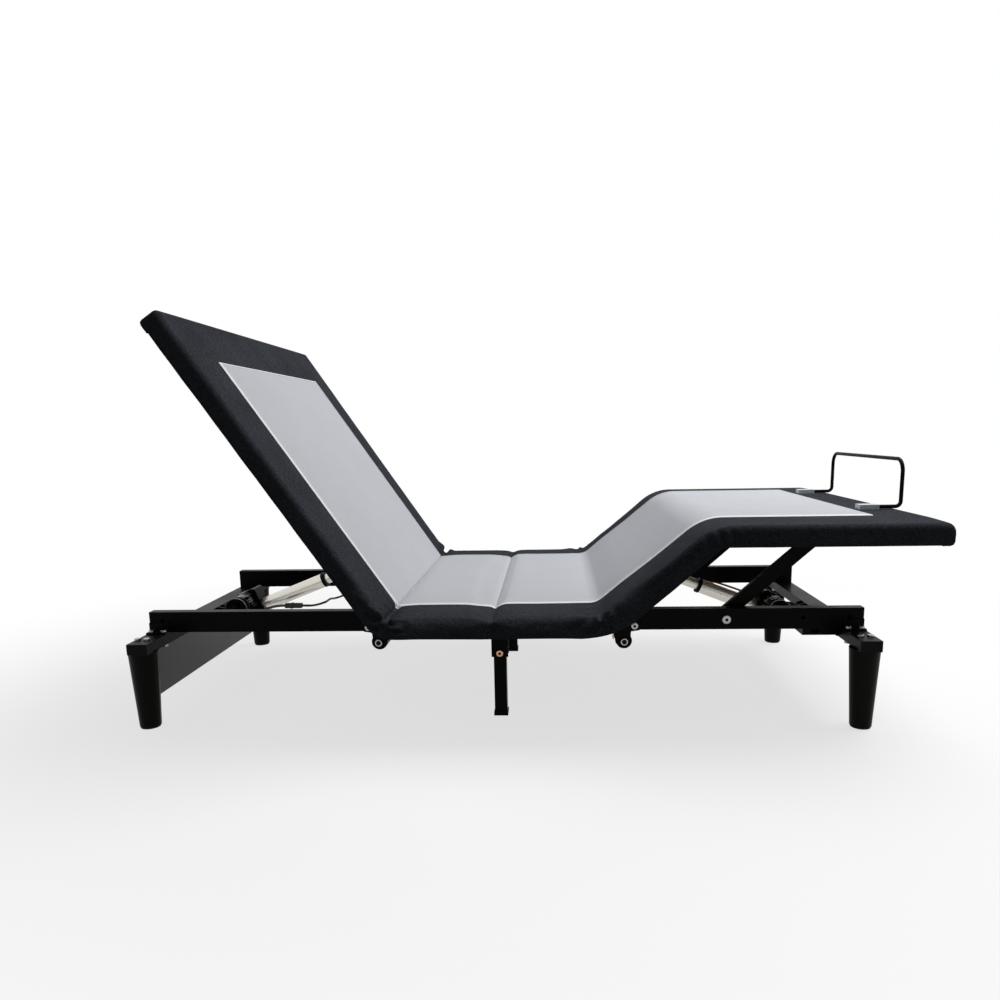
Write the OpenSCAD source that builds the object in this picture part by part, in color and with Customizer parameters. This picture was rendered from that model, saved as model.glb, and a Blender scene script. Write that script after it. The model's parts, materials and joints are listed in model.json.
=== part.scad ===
// Adjustable bed base with four folding deck sections, all lengths in millimetres and angles in degrees.
// X runs from the head end to the foot end, Y across the bed, Z up from the floor.

/* [Deck] */
// Width of the upholstered deck
deck_w = 965; // [800:1:1100]
// Length of the back section, from the back crease to the head end
back_len = 825; // [740:1:900]
// Length of the rear seat half, from the back crease to the seat seam
seat_rear_len = 225; // [190:1:280]
// Length of the front seat half, from the seat seam to the thigh pivot
seat_front_len = 260; // [220:1:300]
// Distance from the thigh pivot to the knee pivot
thigh_len = 297; // [270:1:330]
// Distance from the knee pivot to the foot end
calf_len = 473; // [420:1:540]
// Thickness of the boards
board_t = 15; // [9:1:18]
// Thickness of the foam and fabric over the boards
foam_t = 10; // [6:1:20]
// Height of the edge laths under the boards
lath_h = 18; // [12:1:18]
// Width of the edge laths
lath_w = 30; // [20:1:45]
// Thickness of the fabric under the edges
fabric_t = 2; // [1:0.5:3]
// Thickness of the padding and fabric round the edges of the boards
edge_pad = 8; // [6:0.5:10]
// Half of the gap between the thigh and calf covers when the deck is flat
knee_gap = 16; // [12:1:22]

/* [Pose of the model] */
// Angle of the back section
back_rest = 56; // [0:1:65]
// Angle of the thigh section
thigh_rest = 41.5; // [0:0.5:45]
// Angle of the back section at which the crease line was set out
crease_angle = 56; // [50:1:65]
// Steepest angle of the back section
back_max = 65; // [60:1:65]
// Steepest angle of the thigh section
thigh_max = 45; // [42:1:45]

/* [Frame] */
// Height of the corner legs
leg_h = 187; // [150:1:230]
// Radius of a corner leg at the top
leg_top_r = 34; // [31:1:37]
// Radius of a corner leg at the floor
leg_foot_r = 24; // [20:1:30]
// Distance from the centreline to the corner legs
leg_y = 357; // [345:1:365]
// Distance from the seat seam to the head legs
head_leg_x = 831; // [831:1:838]
// Distance from the seat seam to the foot legs
foot_leg_x = 834; // [830:1:840]
// Height of the cross beams
beam_h = 25; // [20:1:30]
// Width of the cross beams along the bed
beam_w = 48; // [44:1:56]
// Length of the cross beams
beam_len = 794; // [790:2:830]
// Width of the side rails
rail_w = 25; // [20:1:30]
// Height of the side rails
rail_h = 50; // [46:1:56]
// Distance from the centreline to the outer face of the side rails
rail_y = 286; // [280:1:292]
// Wall of the steel tubes
wall = 2; // [1.5:0.25:2.5]
// Depth of the apron plate below the head beam
apron_h = 122; // [90:1:150]
// Gap between the apron plate and the corner legs
apron_gap = 5; // [3:1:60]

/* [Section pivots] */
// Depth of the section pivots below the top of the deck
pivot_drop = 42; // [40:1:44]
// Radius of the section pivot pins
pivot_pin_r = 6; // [5:0.5:7]
// Height of the tubes of the section frames
bar_h = 30; // [24:1:30]
// Width of the tubes of the section frames
bar_w = 20; // [16:1:20]

/* [Lift gear] */
// Height of the lift tubes above the floor
lift_z = 185; // [183:1:188]
// Distance from the seat seam to the back lift tube
back_lift_x = 286.5; // [284:0.5:290]
// Distance from the seat seam to the thigh lift tube
thigh_lift_x = 300; // [297:1:303]
// Radius of the lift tubes
lift_tube_r = 19; // [16:0.5:20]
// Length of the back lift arms
back_arm_len = 300; // [280:1:310]
// Length of the thigh lift arms
thigh_arm_len = 220; // [205:1:225]
// Distance from the centreline to the lift arms
arm_y = 150; // [120:1:165]
// Thickness of the lift arms
arm_t = 8; // [6:1:10]
// Radius of the lift rollers
roller_r = 15; // [12:0.5:16]
// Width of the lift rollers
roller_w = 22; // [16:1:26]
// Turn of the back lift tube for each degree of the back section
back_lift_ratio = 1.001; // [1:0.001:1.01]
// Turn of the thigh lift tube for each degree of the thigh section
thigh_lift_ratio = 1.063; // [1.05:0.001:1.07]
// Length of the back lever, from the lift tube to the rod pin
back_lever_len = 169.4; // [165:0.1:172]
// Angle of the back lever above the floor
back_lever_angle = 69.3; // [68:0.1:71]
// Length of the thigh lever, from the lift tube to the rod pin
thigh_lever_len = 157.2; // [153:0.1:160]
// Angle of the thigh lever above the floor
thigh_lever_angle = 53.4; // [52:0.1:55]

/* [Actuators] */
// Distance from the seat seam to the tail pin of the back actuator
back_tail_x = 741.7; // [735:0.1:745]
// Height of the tail pin of the back actuator
back_tail_z = 187.4; // [184:0.1:190]
// Distance from the seat seam to the tail pin of the thigh actuator
thigh_tail_x = 749.7; // [745:0.1:755]
// Height of the tail pin of the thigh actuator
thigh_tail_z = 172.9; // [170:0.1:176]
// Radius of the outer tubes
tube_r = 19; // [17:0.5:20]
// Radius of the push rods
rod_r = 14; // [11:0.5:15]
// Length from the tail pin to the end of the back outer tube
back_tube_end = 267; // [240:1:268]
// Length from the tail pin to the end of the thigh outer tube
thigh_tube_end = 244; // [220:1:262]
// Radius of the rod pins
rod_pin_r = 6; // [5:0.5:6]

/* [Calf links] */
// Distance from the seat seam to the lower pivot of the calf links
link_x = 539; // [535:1:545]
// Height of the lower pivot of the calf links
link_z = 236; // [235:1:238]
// Radius of the round ends of the calf links
link_r = 16; // [14:1:18]
// Thickness of the calf links
link_t = 14; // [10:1:15]

/* [Centre legs] */
// Width of the tube of a centre leg
centre_leg_w = 30; // [25:1:34]
// Height of the pivot of the centre legs
centre_pivot_z = 158; // [150:1:165]

/* [Retainer bar] */
// Height of the retainer bar above the deck
bar_rise = 116; // [90:1:140]
// Distance between the two legs of the retainer bar
bar_span = 450; // [350:2:520]
// Radius of the retainer bar
bar_r = 4.5; // [4:0.25:6]
// Length of the retainer sockets
socket_len = 45; // [35:1:60]

/* [Hidden] */

$fn = 48;
hull_fn = 32;            // children of a hull
touch = 0.3;             // running gap between parts that move past each other
cut = 1;                 // how far a cutter passes through a face
tape_t = 1;              // anti-squeak tape on the rails
fit = 0.1;               // radial clearance of a pin in its bore

// heights of the frame and the deck
beam_z = leg_h;
rail_z = beam_z + beam_h;
rail_top = rail_z + rail_h;
board_z = rail_top + tape_t;
deck_z = board_z + board_t + foam_t;
pivot_z = deck_z - pivot_drop;
rail_in = rail_y - rail_w;

// the pivots, measured from the seat seam
back_pivot_x = seat_rear_len + pivot_drop * tan(crease_angle / 2);
thigh_pivot_x = seat_front_len;
knee_x = thigh_pivot_x + thigh_len * cos(thigh_rest);
knee_z = pivot_z + thigh_len * sin(thigh_rest);

// the row's origin lies midway between the head legs and the foot end of the deck
x_low = -(head_leg_x + leg_top_r);
x_high = knee_x + calf_len;
origin_x = (x_low + x_high) / 2;

// levels above the plane of the section pivots
top_h = pivot_drop;
board_top_h = top_h - foam_t;
board_h = board_top_h - board_t;
edge_h = board_h - lath_h - fabric_t;
bar_low_h = board_h - bar_h;

// the two halves of a crease lean back, so that they only meet at the steepest angle
back_lean = top_h * tan(back_max / 2) + touch;
thigh_lean = top_h * tan(thigh_max / 2) + touch;
foot_lean = 12;          // how far the lower edge at the back crease stands off the pivot
valley_foot = 8;         // the same at the thigh crease
knee_foot = 4;           // the same at the knee
back_inset = back_lean - 1;      // start of the timber, from the back pivot
thigh_inset = thigh_lean + 2;    // start of the timber, from the thigh pivot
knee_inset = knee_gap + 2;       // start of the timber, from the knee pivot
back_end = back_len - (back_pivot_x - seat_rear_len);

// bars of the section frames, from the centreline
bar_gap = 6;
outer_bar_y = rail_in - 3 - bar_w;
thigh_bar_y = outer_bar_y - bar_w - bar_gap;
calf_bar_y = thigh_bar_y - bar_w - bar_gap;
link_y = outer_bar_y - 2;        // inner face of the links
bar_start = 14;                  // length of a bar behind its pivot

// beams under the rails
head_beam_x = -(head_leg_x - 7);
foot_beam_x = foot_leg_x - 1.5;
rail_head_x = head_beam_x - beam_w / 2;
rail_foot_x = foot_beam_x + beam_w / 2;
cap_t = 2.5;

// lift gear
bracket_t = 5;
tube_half = rail_y - 1;          // half the length of a lift tube
lever_t = 5;
lever_rim = 8;                   // metal round a window
lever_gap = 22;                  // from the centreline to the inner face of a lever plate
// window in a lever: [middle along the lever, middle across it, half width, middle to round end, tilt]
back_window = [back_lever_len - 0.1, -1.1, 14.2, 12, 2.8];
thigh_window = [thigh_lever_len - 3.8, -0.4, 8.8, 8, 5.7];
track_t = 4;
arm_tip_r = 12;
roller_pin_r = 5;
roller_drop = roller_r + touch - (board_h - track_t);   // roller centre below the pivot plane

// angle of a lift arm that just touches its wear strip when the section stands at angle a
function arm_touch(a, dx, dz, len) = a + asin((dx * sin(a) + dz * cos(a) - roller_drop) / len);
// rest angle of a lift arm that never presses into its wear strip, for a fixed ratio
function arm_rest(rest, most, ratio, dx, dz, len) =
    min([for (a = [0:1:most]) arm_touch(a, dx, dz, len) - ratio * (a - rest)]);
back_arm = arm_rest(back_rest, back_max, back_lift_ratio, back_lift_x - back_pivot_x, pivot_z - lift_z,
    back_arm_len);
thigh_arm = arm_rest(thigh_rest, thigh_max, thigh_lift_ratio, thigh_lift_x - thigh_pivot_x,
    pivot_z - lift_z, thigh_arm_len);

// rod pins and the lines of the actuators
back_pin_x = back_lift_x + back_lever_len * cos(back_lever_angle);
back_pin_z = lift_z + back_lever_len * sin(back_lever_angle);
thigh_pin_x = thigh_lift_x + thigh_lever_len * cos(thigh_lever_angle);
thigh_pin_z = lift_z + thigh_lever_len * sin(thigh_lever_angle);
back_line = atan2(back_pin_z - back_tail_z, back_tail_x - back_pin_x);
thigh_line = atan2(thigh_pin_z - thigh_tail_z, thigh_tail_x - thigh_pin_x);
back_reach = norm([back_tail_x - back_pin_x, back_pin_z - back_tail_z]);
thigh_reach = norm([thigh_tail_x - thigh_pin_x, thigh_pin_z - thigh_tail_z]);
eye_r = 12;
tail_r = 13;
tail_w = 24;
ear_gap = tail_w / 2 + 1;
ear_t = 5;
tail_pin_r = 5;
gear_start = 20;         // start of the gearbox, from the tail pin
gear_end = 78;
gear_low = 24;           // depth of the gearbox below the actuator's line
gear_high = 54;
gear_w = 54;
motor_r = 27;
motor_len = 88;
motor_along = 47;        // centre of the motor along the actuator's line
motor_up = 25;

// calf links
link_len = thigh_len;
link_top_x = link_x + link_len * cos(thigh_rest);
link_top_z = link_z + link_len * sin(thigh_rest);

// centre legs
centre_x = 4;
centre_y = rail_in + rail_w / 2;
centre_plate_t = 3;
centre_out = centre_leg_w / 2 + touch + centre_plate_t;   // outer faces of a bracket

// retainer bar and its sockets, from the knee pivot and above the top of the deck
socket_w = 28;
socket_h = 12;
socket_end = calf_len - 60;
bar_up_x = calf_len - 6;
foot_bend_r = 12;
top_bend_r = 30;

// control box
box_len = 80;
box_w = 125;
box_h = 25;
box_y = -187.5;
box_z = beam_z;

// routes of the leads
back_lead_r = 3.5;
harness_r = 3;
clip_y = rail_in - 4;
clip_z = rail_z + 6;
plug_len = 46;
plug_start = 141;        // from the tail pin of the back actuator
plug_y = -32;
plug_down = 22.7;        // below the actuator's line
// along the back actuator; the plug itself hangs level
back_lead_route = [[66, -gear_w / 2 - 3 * touch, -12], [66, -34, -12], [70, -39, -11.5], [86, -41, -10],
    [106, -37, -12], [122, -33, -16], [133, plug_y, -plug_down + 3],
    [plug_start - touch, plug_y, -plug_down]];
plug_end = [-back_tail_x + plug_start * cos(back_line) + plug_down * sin(back_line) + plug_len,
    plug_y, back_tail_z + plug_start * sin(back_line) - plug_down * cos(back_line)];
// from the plug under the actuator, then from its far side to the control box
pigtail_y = 50;
pigtail_route = [plug_end + [2 * touch, 0, 0], plug_end + [12, 0, 0], [-530, -24, 216], [-519, 0, 214],
    [-511, 26, 213], [-509, 40, 213], [-509, pigtail_y, 213]];
harness_route = [[-509, pigtail_y + 3 * touch, 213], [-509, 62, 213], [-511, 85, 211], [-512, 112, 205],
    [-508, 150, 199], [-480, 205, 205], [-440, 246, 215], [-400, clip_y, clip_z], [-380, clip_y, clip_z],
    [-100, clip_y, clip_z], [100, clip_y, clip_z], [350, clip_y, clip_z], [600, clip_y, clip_z],
    [620, clip_y, clip_z], [645, 255, 210], [682, 247, 198], [715, 222, 189], [748, 170, 177],
    [780, 90, 167], [795, 0, 165], [788, -70, 176], [768, -104, 192], [766, -116, 195],
    [766, box_y + box_w / 2 + touch, 195]];
thigh_lead_up = 28;       // above the actuator's line
thigh_lead_along = gear_start - 5 * touch;
thigh_lead_start = [thigh_tail_x - thigh_lead_along * cos(thigh_line) + thigh_lead_up * sin(thigh_line), 18,
    thigh_tail_z + thigh_lead_along * sin(thigh_line) + thigh_lead_up * cos(thigh_line)];
thigh_lead_route = [thigh_lead_start, thigh_lead_start + 9 * [cos(thigh_line), 0, -sin(thigh_line)],
    [764, 12, 207], [777, -12, 211], [787, -50, 208], [790, -90, 205], [788, -112, 204],
    [788, box_y + box_w / 2 + touch, 204]];

steel = [0.07, 0.07, 0.075];
zinc = [0.75, 0.75, 0.73];
black = [0.05, 0.05, 0.055];
cloth = [0.13, 0.14, 0.16];
wood = [0.72, 0.58, 0.4];
alloy = [0.78, 0.78, 0.75];

// ---------------------------------------------------------------- frames of reference

// everything is placed from the seat seam and then moved to the row's origin
module in_row() {
    translate([-origin_x, 0, 0]) children();
}

module both_sides() {
    children();
    mirror([0, 1, 0]) children();
}

// level with the seat, X from the seam and Z from the plane of the pivots
module on_seat() {
    in_row() translate([0, 0, pivot_z]) children();
}

// X runs up the back section from its pivot
module on_back() {
    in_row() translate([-back_pivot_x, 0, pivot_z]) rotate([0, back_rest, 0]) mirror([1, 0, 0]) children();
}

module on_thigh() {
    in_row() translate([thigh_pivot_x, 0, pivot_z]) rotate([0, -thigh_rest, 0]) children();
}

module on_calf() {
    in_row() translate([knee_x, 0, knee_z]) children();
}

// X runs along the lift arm or lever that stands at the given angle
module on_back_lift(angle) {
    in_row() translate([-back_lift_x, 0, lift_z]) rotate([0, angle, 0]) mirror([1, 0, 0]) children();
}

module on_thigh_lift(angle) {
    in_row() translate([thigh_lift_x, 0, lift_z]) rotate([0, -angle, 0]) children();
}

// X runs along the actuator from its tail pin
module on_back_actuator() {
    in_row() translate([-back_tail_x, 0, back_tail_z]) rotate([0, -back_line, 0]) children();
}

module on_thigh_actuator() {
    in_row() translate([thigh_tail_x, 0, thigh_tail_z]) rotate([0, thigh_line, 0]) mirror([1, 0, 0])
        children();
}

// ---------------------------------------------------------------- common shapes

// a cylinder across the bed, from y0 to y1
module rod_y(r, y0, y1, x = 0, z = 0) {
    translate([x, y1, z]) rotate([90, 0, 0]) cylinder(r = r, h = y1 - y0);
}

// a plate across the bed, from y0 to y1, whose outline is drawn in X and Z
module plate_y(y0, y1) {
    translate([0, y1, 0]) rotate([90, 0, 0]) linear_extrude(y1 - y0) children();
}

module block(x0, x1, y0, y1, z0, z1) {
    translate([x0, y0, z0]) cube([x1 - x0, y1 - y0, z1 - z0]);
}

// a rectangular tube along X
module tube_x(x0, x1, y0, y1, z0, z1, t) {
    difference() {
        block(x0, x1, y0, y1, z0, z1);
        block(x0 - cut, x1 + cut, y0 + t, y1 - t, z0 + t, z1 - t);
    }
}

// a rectangular tube across the bed
module tube_y(x0, x1, y0, y1, z0, z1, t) {
    difference() {
        block(x0, x1, y0, y1, z0, z1);
        block(x0 + t, x1 - t, y0 - cut, y1 + cut, z0 + t, z1 - t);
    }
}

// an outline round a list of [x, z, r] discs
module lobes(discs) {
    hull() for (d = discs) translate([d[0], d[1]]) circle(r = d[2], $fn = hull_fn);
}

// ---------------------------------------------------------------- rails, beams and legs

bolt_r = 4;
bolt_head_r = 7;
bolt_head_h = 4.5;
nut_h = 6.5;
flange_bolt_x = 15;      // from the middle of a beam
flange_t = 4;
flange_bolt_y = rail_y + flange_t + bolt_head_r + touch;
leg_bolt_x = 11;         // from the axis of a leg
link_bolt_r = 6;
accessory_r = 4.5;
accessory_z = rail_z + 27;
accessory_xs = [-head_leg_x + 15, 717, foot_leg_x - 10];

// one rail half, with bores for the section pivots, brackets, links, centre leg and accessories
module rail_half(x0, x1) {
    difference() {
        tube_x(x0, x1, rail_in, rail_y, rail_z, rail_top, wall);
        for (x = accessory_xs) rod_y(accessory_r, rail_y - wall - cut, rail_y + cut, x, accessory_z);
        for (b = rail_bores) rod_y(b[2], rail_in - cut, rail_y + cut, b[0], b[1]);
    }
}

bracket_bolt_r = 5;
back_bracket_bolt = [-310, rail_z + 11];
thigh_bracket_bolt = [324, rail_z + 11];
rail_bores = [
    [-back_pivot_x, pivot_z, pivot_pin_r], [thigh_pivot_x, pivot_z, pivot_pin_r],
    [link_x, link_z, link_bolt_r],
    [back_bracket_bolt[0], back_bracket_bolt[1], bracket_bolt_r],
    [thigh_bracket_bolt[0], thigh_bracket_bolt[1], bracket_bolt_r]];

module rail_pair() {
    rail_half(rail_head_x + cap_t, 0);
    rail_half(0, rail_foot_x - cap_t);
}

module near_rails() {
    color(steel) in_row() mirror([0, 1, 0]) rail_pair();
}

module far_rails() {
    color(steel) in_row() rail_pair();
}

// sleeves inside the rails at mid-length
splice_half = 120;
module rail_splices() {
    color(steel) in_row() both_sides()
        tube_x(-splice_half, splice_half, rail_in + wall, rail_y - wall, rail_z + wall,
            rail_top - wall, wall);
}

// plastic caps that close the rails and the cross beams
plug_in = 18;
module rail_cap(x, dir) {
    block(min(x, x - dir * cap_t), max(x, x - dir * cap_t), rail_in, rail_y, rail_z, rail_top);
    inner = x - dir * cap_t;
    block(min(inner, inner - dir * plug_in), max(inner, inner - dir * plug_in),
        rail_in + wall, rail_y - wall, rail_z + wall, rail_top - wall);
}

module beam_cap(x) {
    end_y = beam_len / 2;
    block(x - beam_w / 2, x + beam_w / 2, end_y - cap_t, end_y, beam_z, rail_z);
    block(x - beam_w / 2 + wall, x + beam_w / 2 - wall, end_y - cap_t - 2 * wall, end_y - cap_t,
        beam_z + wall, rail_z - wall);
}

module end_caps() {
    color(black) in_row() both_sides() {
        rail_cap(rail_head_x, -1);
        rail_cap(rail_foot_x, 1);
        beam_cap(head_beam_x);
        beam_cap(foot_beam_x);
    }
}

// angles that tie the rails to the beams
flange_w = 22;
flange_up = 24;
module rail_flange(x) {
    difference() {
        union() {
            block(x - beam_w / 2, x + beam_w / 2, rail_y, rail_y + flange_w, rail_z, rail_z + flange_t);
            block(x - beam_w / 2, x + beam_w / 2, rail_y, rail_y + flange_t, rail_z, rail_z + flange_up);
        }
        for (side = [-1, 1]) translate([x + side * flange_bolt_x, flange_bolt_y, rail_z - cut])
            cylinder(r = bolt_r, h = flange_t + 2 * cut);
        rod_y(accessory_r, rail_y - cut, rail_y + flange_t + cut, accessory_xs[0], accessory_z);
        rod_y(accessory_r, rail_y - cut, rail_y + flange_t + cut, accessory_xs[2], accessory_z);
    }
}

module rail_flanges() {
    color(steel) in_row() both_sides() {
        rail_flange(head_beam_x);
        rail_flange(foot_beam_x);
    }
}

module beam_bolt_holes(x, leg_x) {
    for (y = [-1, 1], side = [-1, 1]) {
        translate([x + side * flange_bolt_x, y * flange_bolt_y, beam_z - cut])
            cylinder(r = bolt_r, h = beam_h + 2 * cut);
        translate([leg_x + side * leg_bolt_x, y * leg_y, beam_z - cut])
            cylinder(r = bolt_r, h = beam_h + 2 * cut);
    }
}

module cross_beam(x, leg_x) {
    difference() {
        tube_y(x - beam_w / 2, x + beam_w / 2, -beam_len / 2 + cap_t, beam_len / 2 - cap_t,
            beam_z, rail_z, wall);
        beam_bolt_holes(x, leg_x);
    }
}

module cross_beams() {
    color(steel) in_row() {
        cross_beam(head_beam_x, -head_leg_x);
        cross_beam(foot_beam_x, foot_leg_x);
    }
}

// folded sheet that hangs under the head beam, with a flange screwed to the beam
apron_t = 2;
apron_flange = 18;
apron_x = head_beam_x - 1;
apron_len = 2 * (leg_y - leg_top_r - apron_gap);
module apron_plate() {
    color(steel) in_row() difference() {
        union() {
            block(apron_x, apron_x + apron_t, -apron_len / 2, apron_len / 2, beam_z - apron_h, beam_z);
            block(apron_x, apron_x + apron_flange, -apron_len / 2, apron_len / 2, beam_z - apron_t, beam_z);
        }
        for (y = [-1, 1]) translate([head_beam_x, y * flange_bolt_y, beam_z - apron_t - cut]) apron_slot();
    }
}

// clears the rail bolts that pass down through the beam
module apron_slot() {
    block(-flange_bolt_x - 12, flange_bolt_x + 12, -bolt_head_r - 3, bolt_head_r + 3, 0, apron_t + 2 * cut);
}

module bolt_down(z_top, grip) {
    translate([0, 0, z_top]) cylinder(r = bolt_head_r, h = bolt_head_h);
    translate([0, 0, z_top - grip]) cylinder(r = bolt_r, h = grip);
}

// rail bolts with nuts under the beams, leg bolts and apron screws
apron_screw_ys = [-220, 0, 220];
module frame_bolts() {
    color(zinc) in_row() {
        for (x = [head_beam_x, foot_beam_x], y = [-1, 1], side = [-1, 1])
            translate([x + side * flange_bolt_x, y * flange_bolt_y, 0]) {
                bolt_down(rail_z + flange_t, beam_h + flange_t + nut_h);
                translate([0, 0, beam_z - nut_h]) cylinder(r = 7.5, h = nut_h, $fn = 6);
            }
        for (x = [-head_leg_x, foot_leg_x], y = [-1, 1], side = [-1, 1])
            translate([x + side * leg_bolt_x, y * leg_y, 0]) bolt_down(rail_z, beam_h + leg_bolt_in);
        for (y = apron_screw_ys) translate([apron_x + apron_flange - 7, y, beam_z - apron_t - 3])
            cylinder(r = 5, h = 3);
    }
}

// conical corner legs, each with two blind holes for its bolts
glide_h = 4;
leg_bolt_in = 25;
module corner_legs() {
    color(black) in_row() for (x = [-head_leg_x, foot_leg_x], y = [-1, 1]) translate([x, y * leg_y, 0])
        difference() {
            translate([0, 0, glide_h])
                cylinder(r1 = leg_foot_r, r2 = leg_top_r, h = leg_h - glide_h, $fn = 96);
            for (side = [-1, 1]) translate([side * leg_bolt_x, 0, leg_h - leg_bolt_in])
                cylinder(r = bolt_r, h = leg_bolt_in + cut);
        }
}

module leg_glides() {
    color([0.2, 0.2, 0.2]) in_row() for (x = [-head_leg_x, foot_leg_x], y = [-1, 1])
        translate([x, y * leg_y, 0]) cylinder(r = leg_foot_r - 2, h = glide_h);
}

// ---------------------------------------------------------------- brackets and pivot bolts on the rails

// plates on the outer faces of the rails, which carry the lift tubes below the rails
bracket_rim = 12;        // from the pivot and the bolt to the plate's edges
module pivot_bracket(side, lift_x, pivot_x, bolt) {
    difference() {
        plate_y(rail_y, rail_y + bracket_t) polygon([
            [bolt[0] + side * bracket_rim, pivot_z + bracket_rim], [bolt[0] + side * bracket_rim, rail_z],
            [side * (lift_x + 16), rail_z - 3], [side * (lift_x + 14), lift_z - 2],
            [side * lift_x, lift_z - 15], [side * (lift_x - 20), lift_z - 5],
            [side * (lift_x - 26), rail_z - 3], [side * (pivot_x - bracket_rim), rail_z],
            [side * (pivot_x - bracket_rim), pivot_z + bracket_rim]]);
        rod_y(pivot_pin_r, rail_y - cut, rail_y + bracket_t + cut, side * lift_x, lift_z);
        rod_y(bracket_bolt_r, rail_y - cut, rail_y + bracket_t + cut, bolt[0], bolt[1]);
        rod_y(pivot_pin_r, rail_y - cut, rail_y + bracket_t + cut, side * pivot_x, pivot_z);
    }
}

module pivot_brackets() {
    color(steel) in_row() both_sides() {
        pivot_bracket(-1, back_lift_x, back_pivot_x, back_bracket_bolt);
        pivot_bracket(1, thigh_lift_x, thigh_pivot_x, thigh_bracket_bolt);
    }
}

// a shoulder bolt with its head outside, from y_in to the bracket's or rail's outer face
module side_bolt(r, head, y_in, y_out, x, z) {
    rod_y(r, y_in, y_out, x, z);
    rod_y(head, y_out, y_out + bolt_head_h, x, z);
}

// every bolt and pin that is fixed in the frame and carries something that turns
lift_bolt_in = 24;
module pivot_bolts() {
    color(zinc) in_row() {
        both_sides() {
            side_bolt(pivot_pin_r, 10, tube_half - lift_bolt_in, rail_y + bracket_t, -back_lift_x, lift_z);
            side_bolt(pivot_pin_r, 10, tube_half - lift_bolt_in, rail_y + bracket_t, thigh_lift_x, lift_z);
            side_bolt(bracket_bolt_r, 8, rail_in, rail_y + bracket_t, back_bracket_bolt[0],
                back_bracket_bolt[1]);
            side_bolt(bracket_bolt_r, 8, rail_in, rail_y + bracket_t, thigh_bracket_bolt[0],
                thigh_bracket_bolt[1]);
            side_bolt(pivot_pin_r, 10, outer_bar_y, rail_y + bracket_t, -back_pivot_x, pivot_z);
            rod_y(9, outer_bar_y + bar_w + touch, rail_in, -back_pivot_x, pivot_z);
            side_bolt(pivot_pin_r, 10, thigh_bar_y, rail_y + bracket_t, thigh_pivot_x, pivot_z);
            rod_y(9, thigh_bar_y + bar_w + touch, rail_in, thigh_pivot_x, pivot_z);
            side_bolt(link_bolt_r, 10, link_y - 1, rail_y, link_x, link_z);
            rod_y(9, link_y + link_t + touch, rail_in, link_x, link_z);
            side_bolt(centre_pin_r, 8, centre_y - centre_out, centre_y + centre_out, centre_x,
                centre_pivot_z);
            rod_y(8, centre_y - centre_out - 5, centre_y - centre_out, centre_x, centre_pivot_z);
        }
        for (t = [[-back_tail_x, back_tail_z], [thigh_tail_x, thigh_tail_z]]) {
            rod_y(tail_pin_r, -ear_gap - ear_t - 3, ear_gap + ear_t, t[0], t[1]);
            rod_y(8, ear_gap + ear_t, ear_gap + ear_t + 3, t[0], t[1]);
        }
    }
}

// ears on the inner faces of the cross beams, which hold the actuators' tails
module actuator_ears(face_x, x, z, dir) {
    both_sides() difference() {
        plate_y(ear_gap, ear_gap + ear_t) hull() {
            translate([x, z]) circle(r = 14, $fn = hull_fn);
            translate([face_x - (dir > 0 ? 0 : 1), beam_z]) square([1, beam_h]);
        }
        rod_y(tail_pin_r, ear_gap - cut, ear_gap + ear_t + cut, x, z);
    }
}

module actuator_brackets() {
    color(steel) in_row() {
        actuator_ears(head_beam_x + beam_w / 2, -back_tail_x, back_tail_z, 1);
        actuator_ears(foot_beam_x - beam_w / 2, thigh_tail_x, thigh_tail_z, -1);
    }
}

// ---------------------------------------------------------------- folding centre legs

centre_pin_r = 4;
centre_bracket_w = 40;
centre_bracket_low = 10;
module centre_leg_bracket() {
    inner = centre_leg_w / 2 + touch;
    x0 = centre_x - centre_bracket_w / 2;
    x1 = centre_x + centre_bracket_w / 2;
    low = centre_pivot_z - centre_bracket_low;
    difference() {
        union() {
            block(x0, x1, centre_y - inner - centre_plate_t, centre_y - inner, low, rail_z);
            block(x0, x1, centre_y + inner, centre_y + inner + centre_plate_t, low, rail_z);
            block(x0, x1, centre_y - inner, centre_y + inner, rail_z - centre_plate_t, rail_z);
        }
        rod_y(centre_pin_r, centre_y - inner - centre_plate_t - cut, centre_y + inner + centre_plate_t + cut,
            centre_x, centre_pivot_z);
    }
}

module centre_leg_brackets() {
    color(steel) in_row() both_sides() centre_leg_bracket();
}

// square tube with a round top and a plastic foot
centre_foot_h = 10;
centre_top_r = 15;
module centre_leg() {
    half = centre_leg_w / 2;
    difference() {
        union() {
            block(centre_x - half, centre_x + half, centre_y - half, centre_y + half, centre_foot_h,
                centre_pivot_z);
            rod_y(half, centre_y - half, centre_y + half, centre_x, centre_pivot_z);
        }
        block(centre_x - half + wall, centre_x + half - wall, centre_y - half + wall, centre_y + half - wall,
            centre_foot_h - cut, centre_pivot_z - half);
        rod_y(centre_pin_r + fit, centre_y - half - cut, centre_y + half + cut, centre_x, centre_pivot_z);
    }
    block(centre_x - half - 2, centre_x + half + 2, centre_y - half - 2, centre_y + half + 2, 0,
        centre_foot_h);
}

module centre_leg_near() {
    color(black) in_row() mirror([0, 1, 0]) centre_leg();
}

module centre_leg_far() {
    color(black) in_row() centre_leg();
}

// ---------------------------------------------------------------- deck sections

half_w = deck_w / 2;

// the room that the rails and their brackets need under a section
rail_room = rail_y + bracket_t + bolt_head_h + touch;

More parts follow.
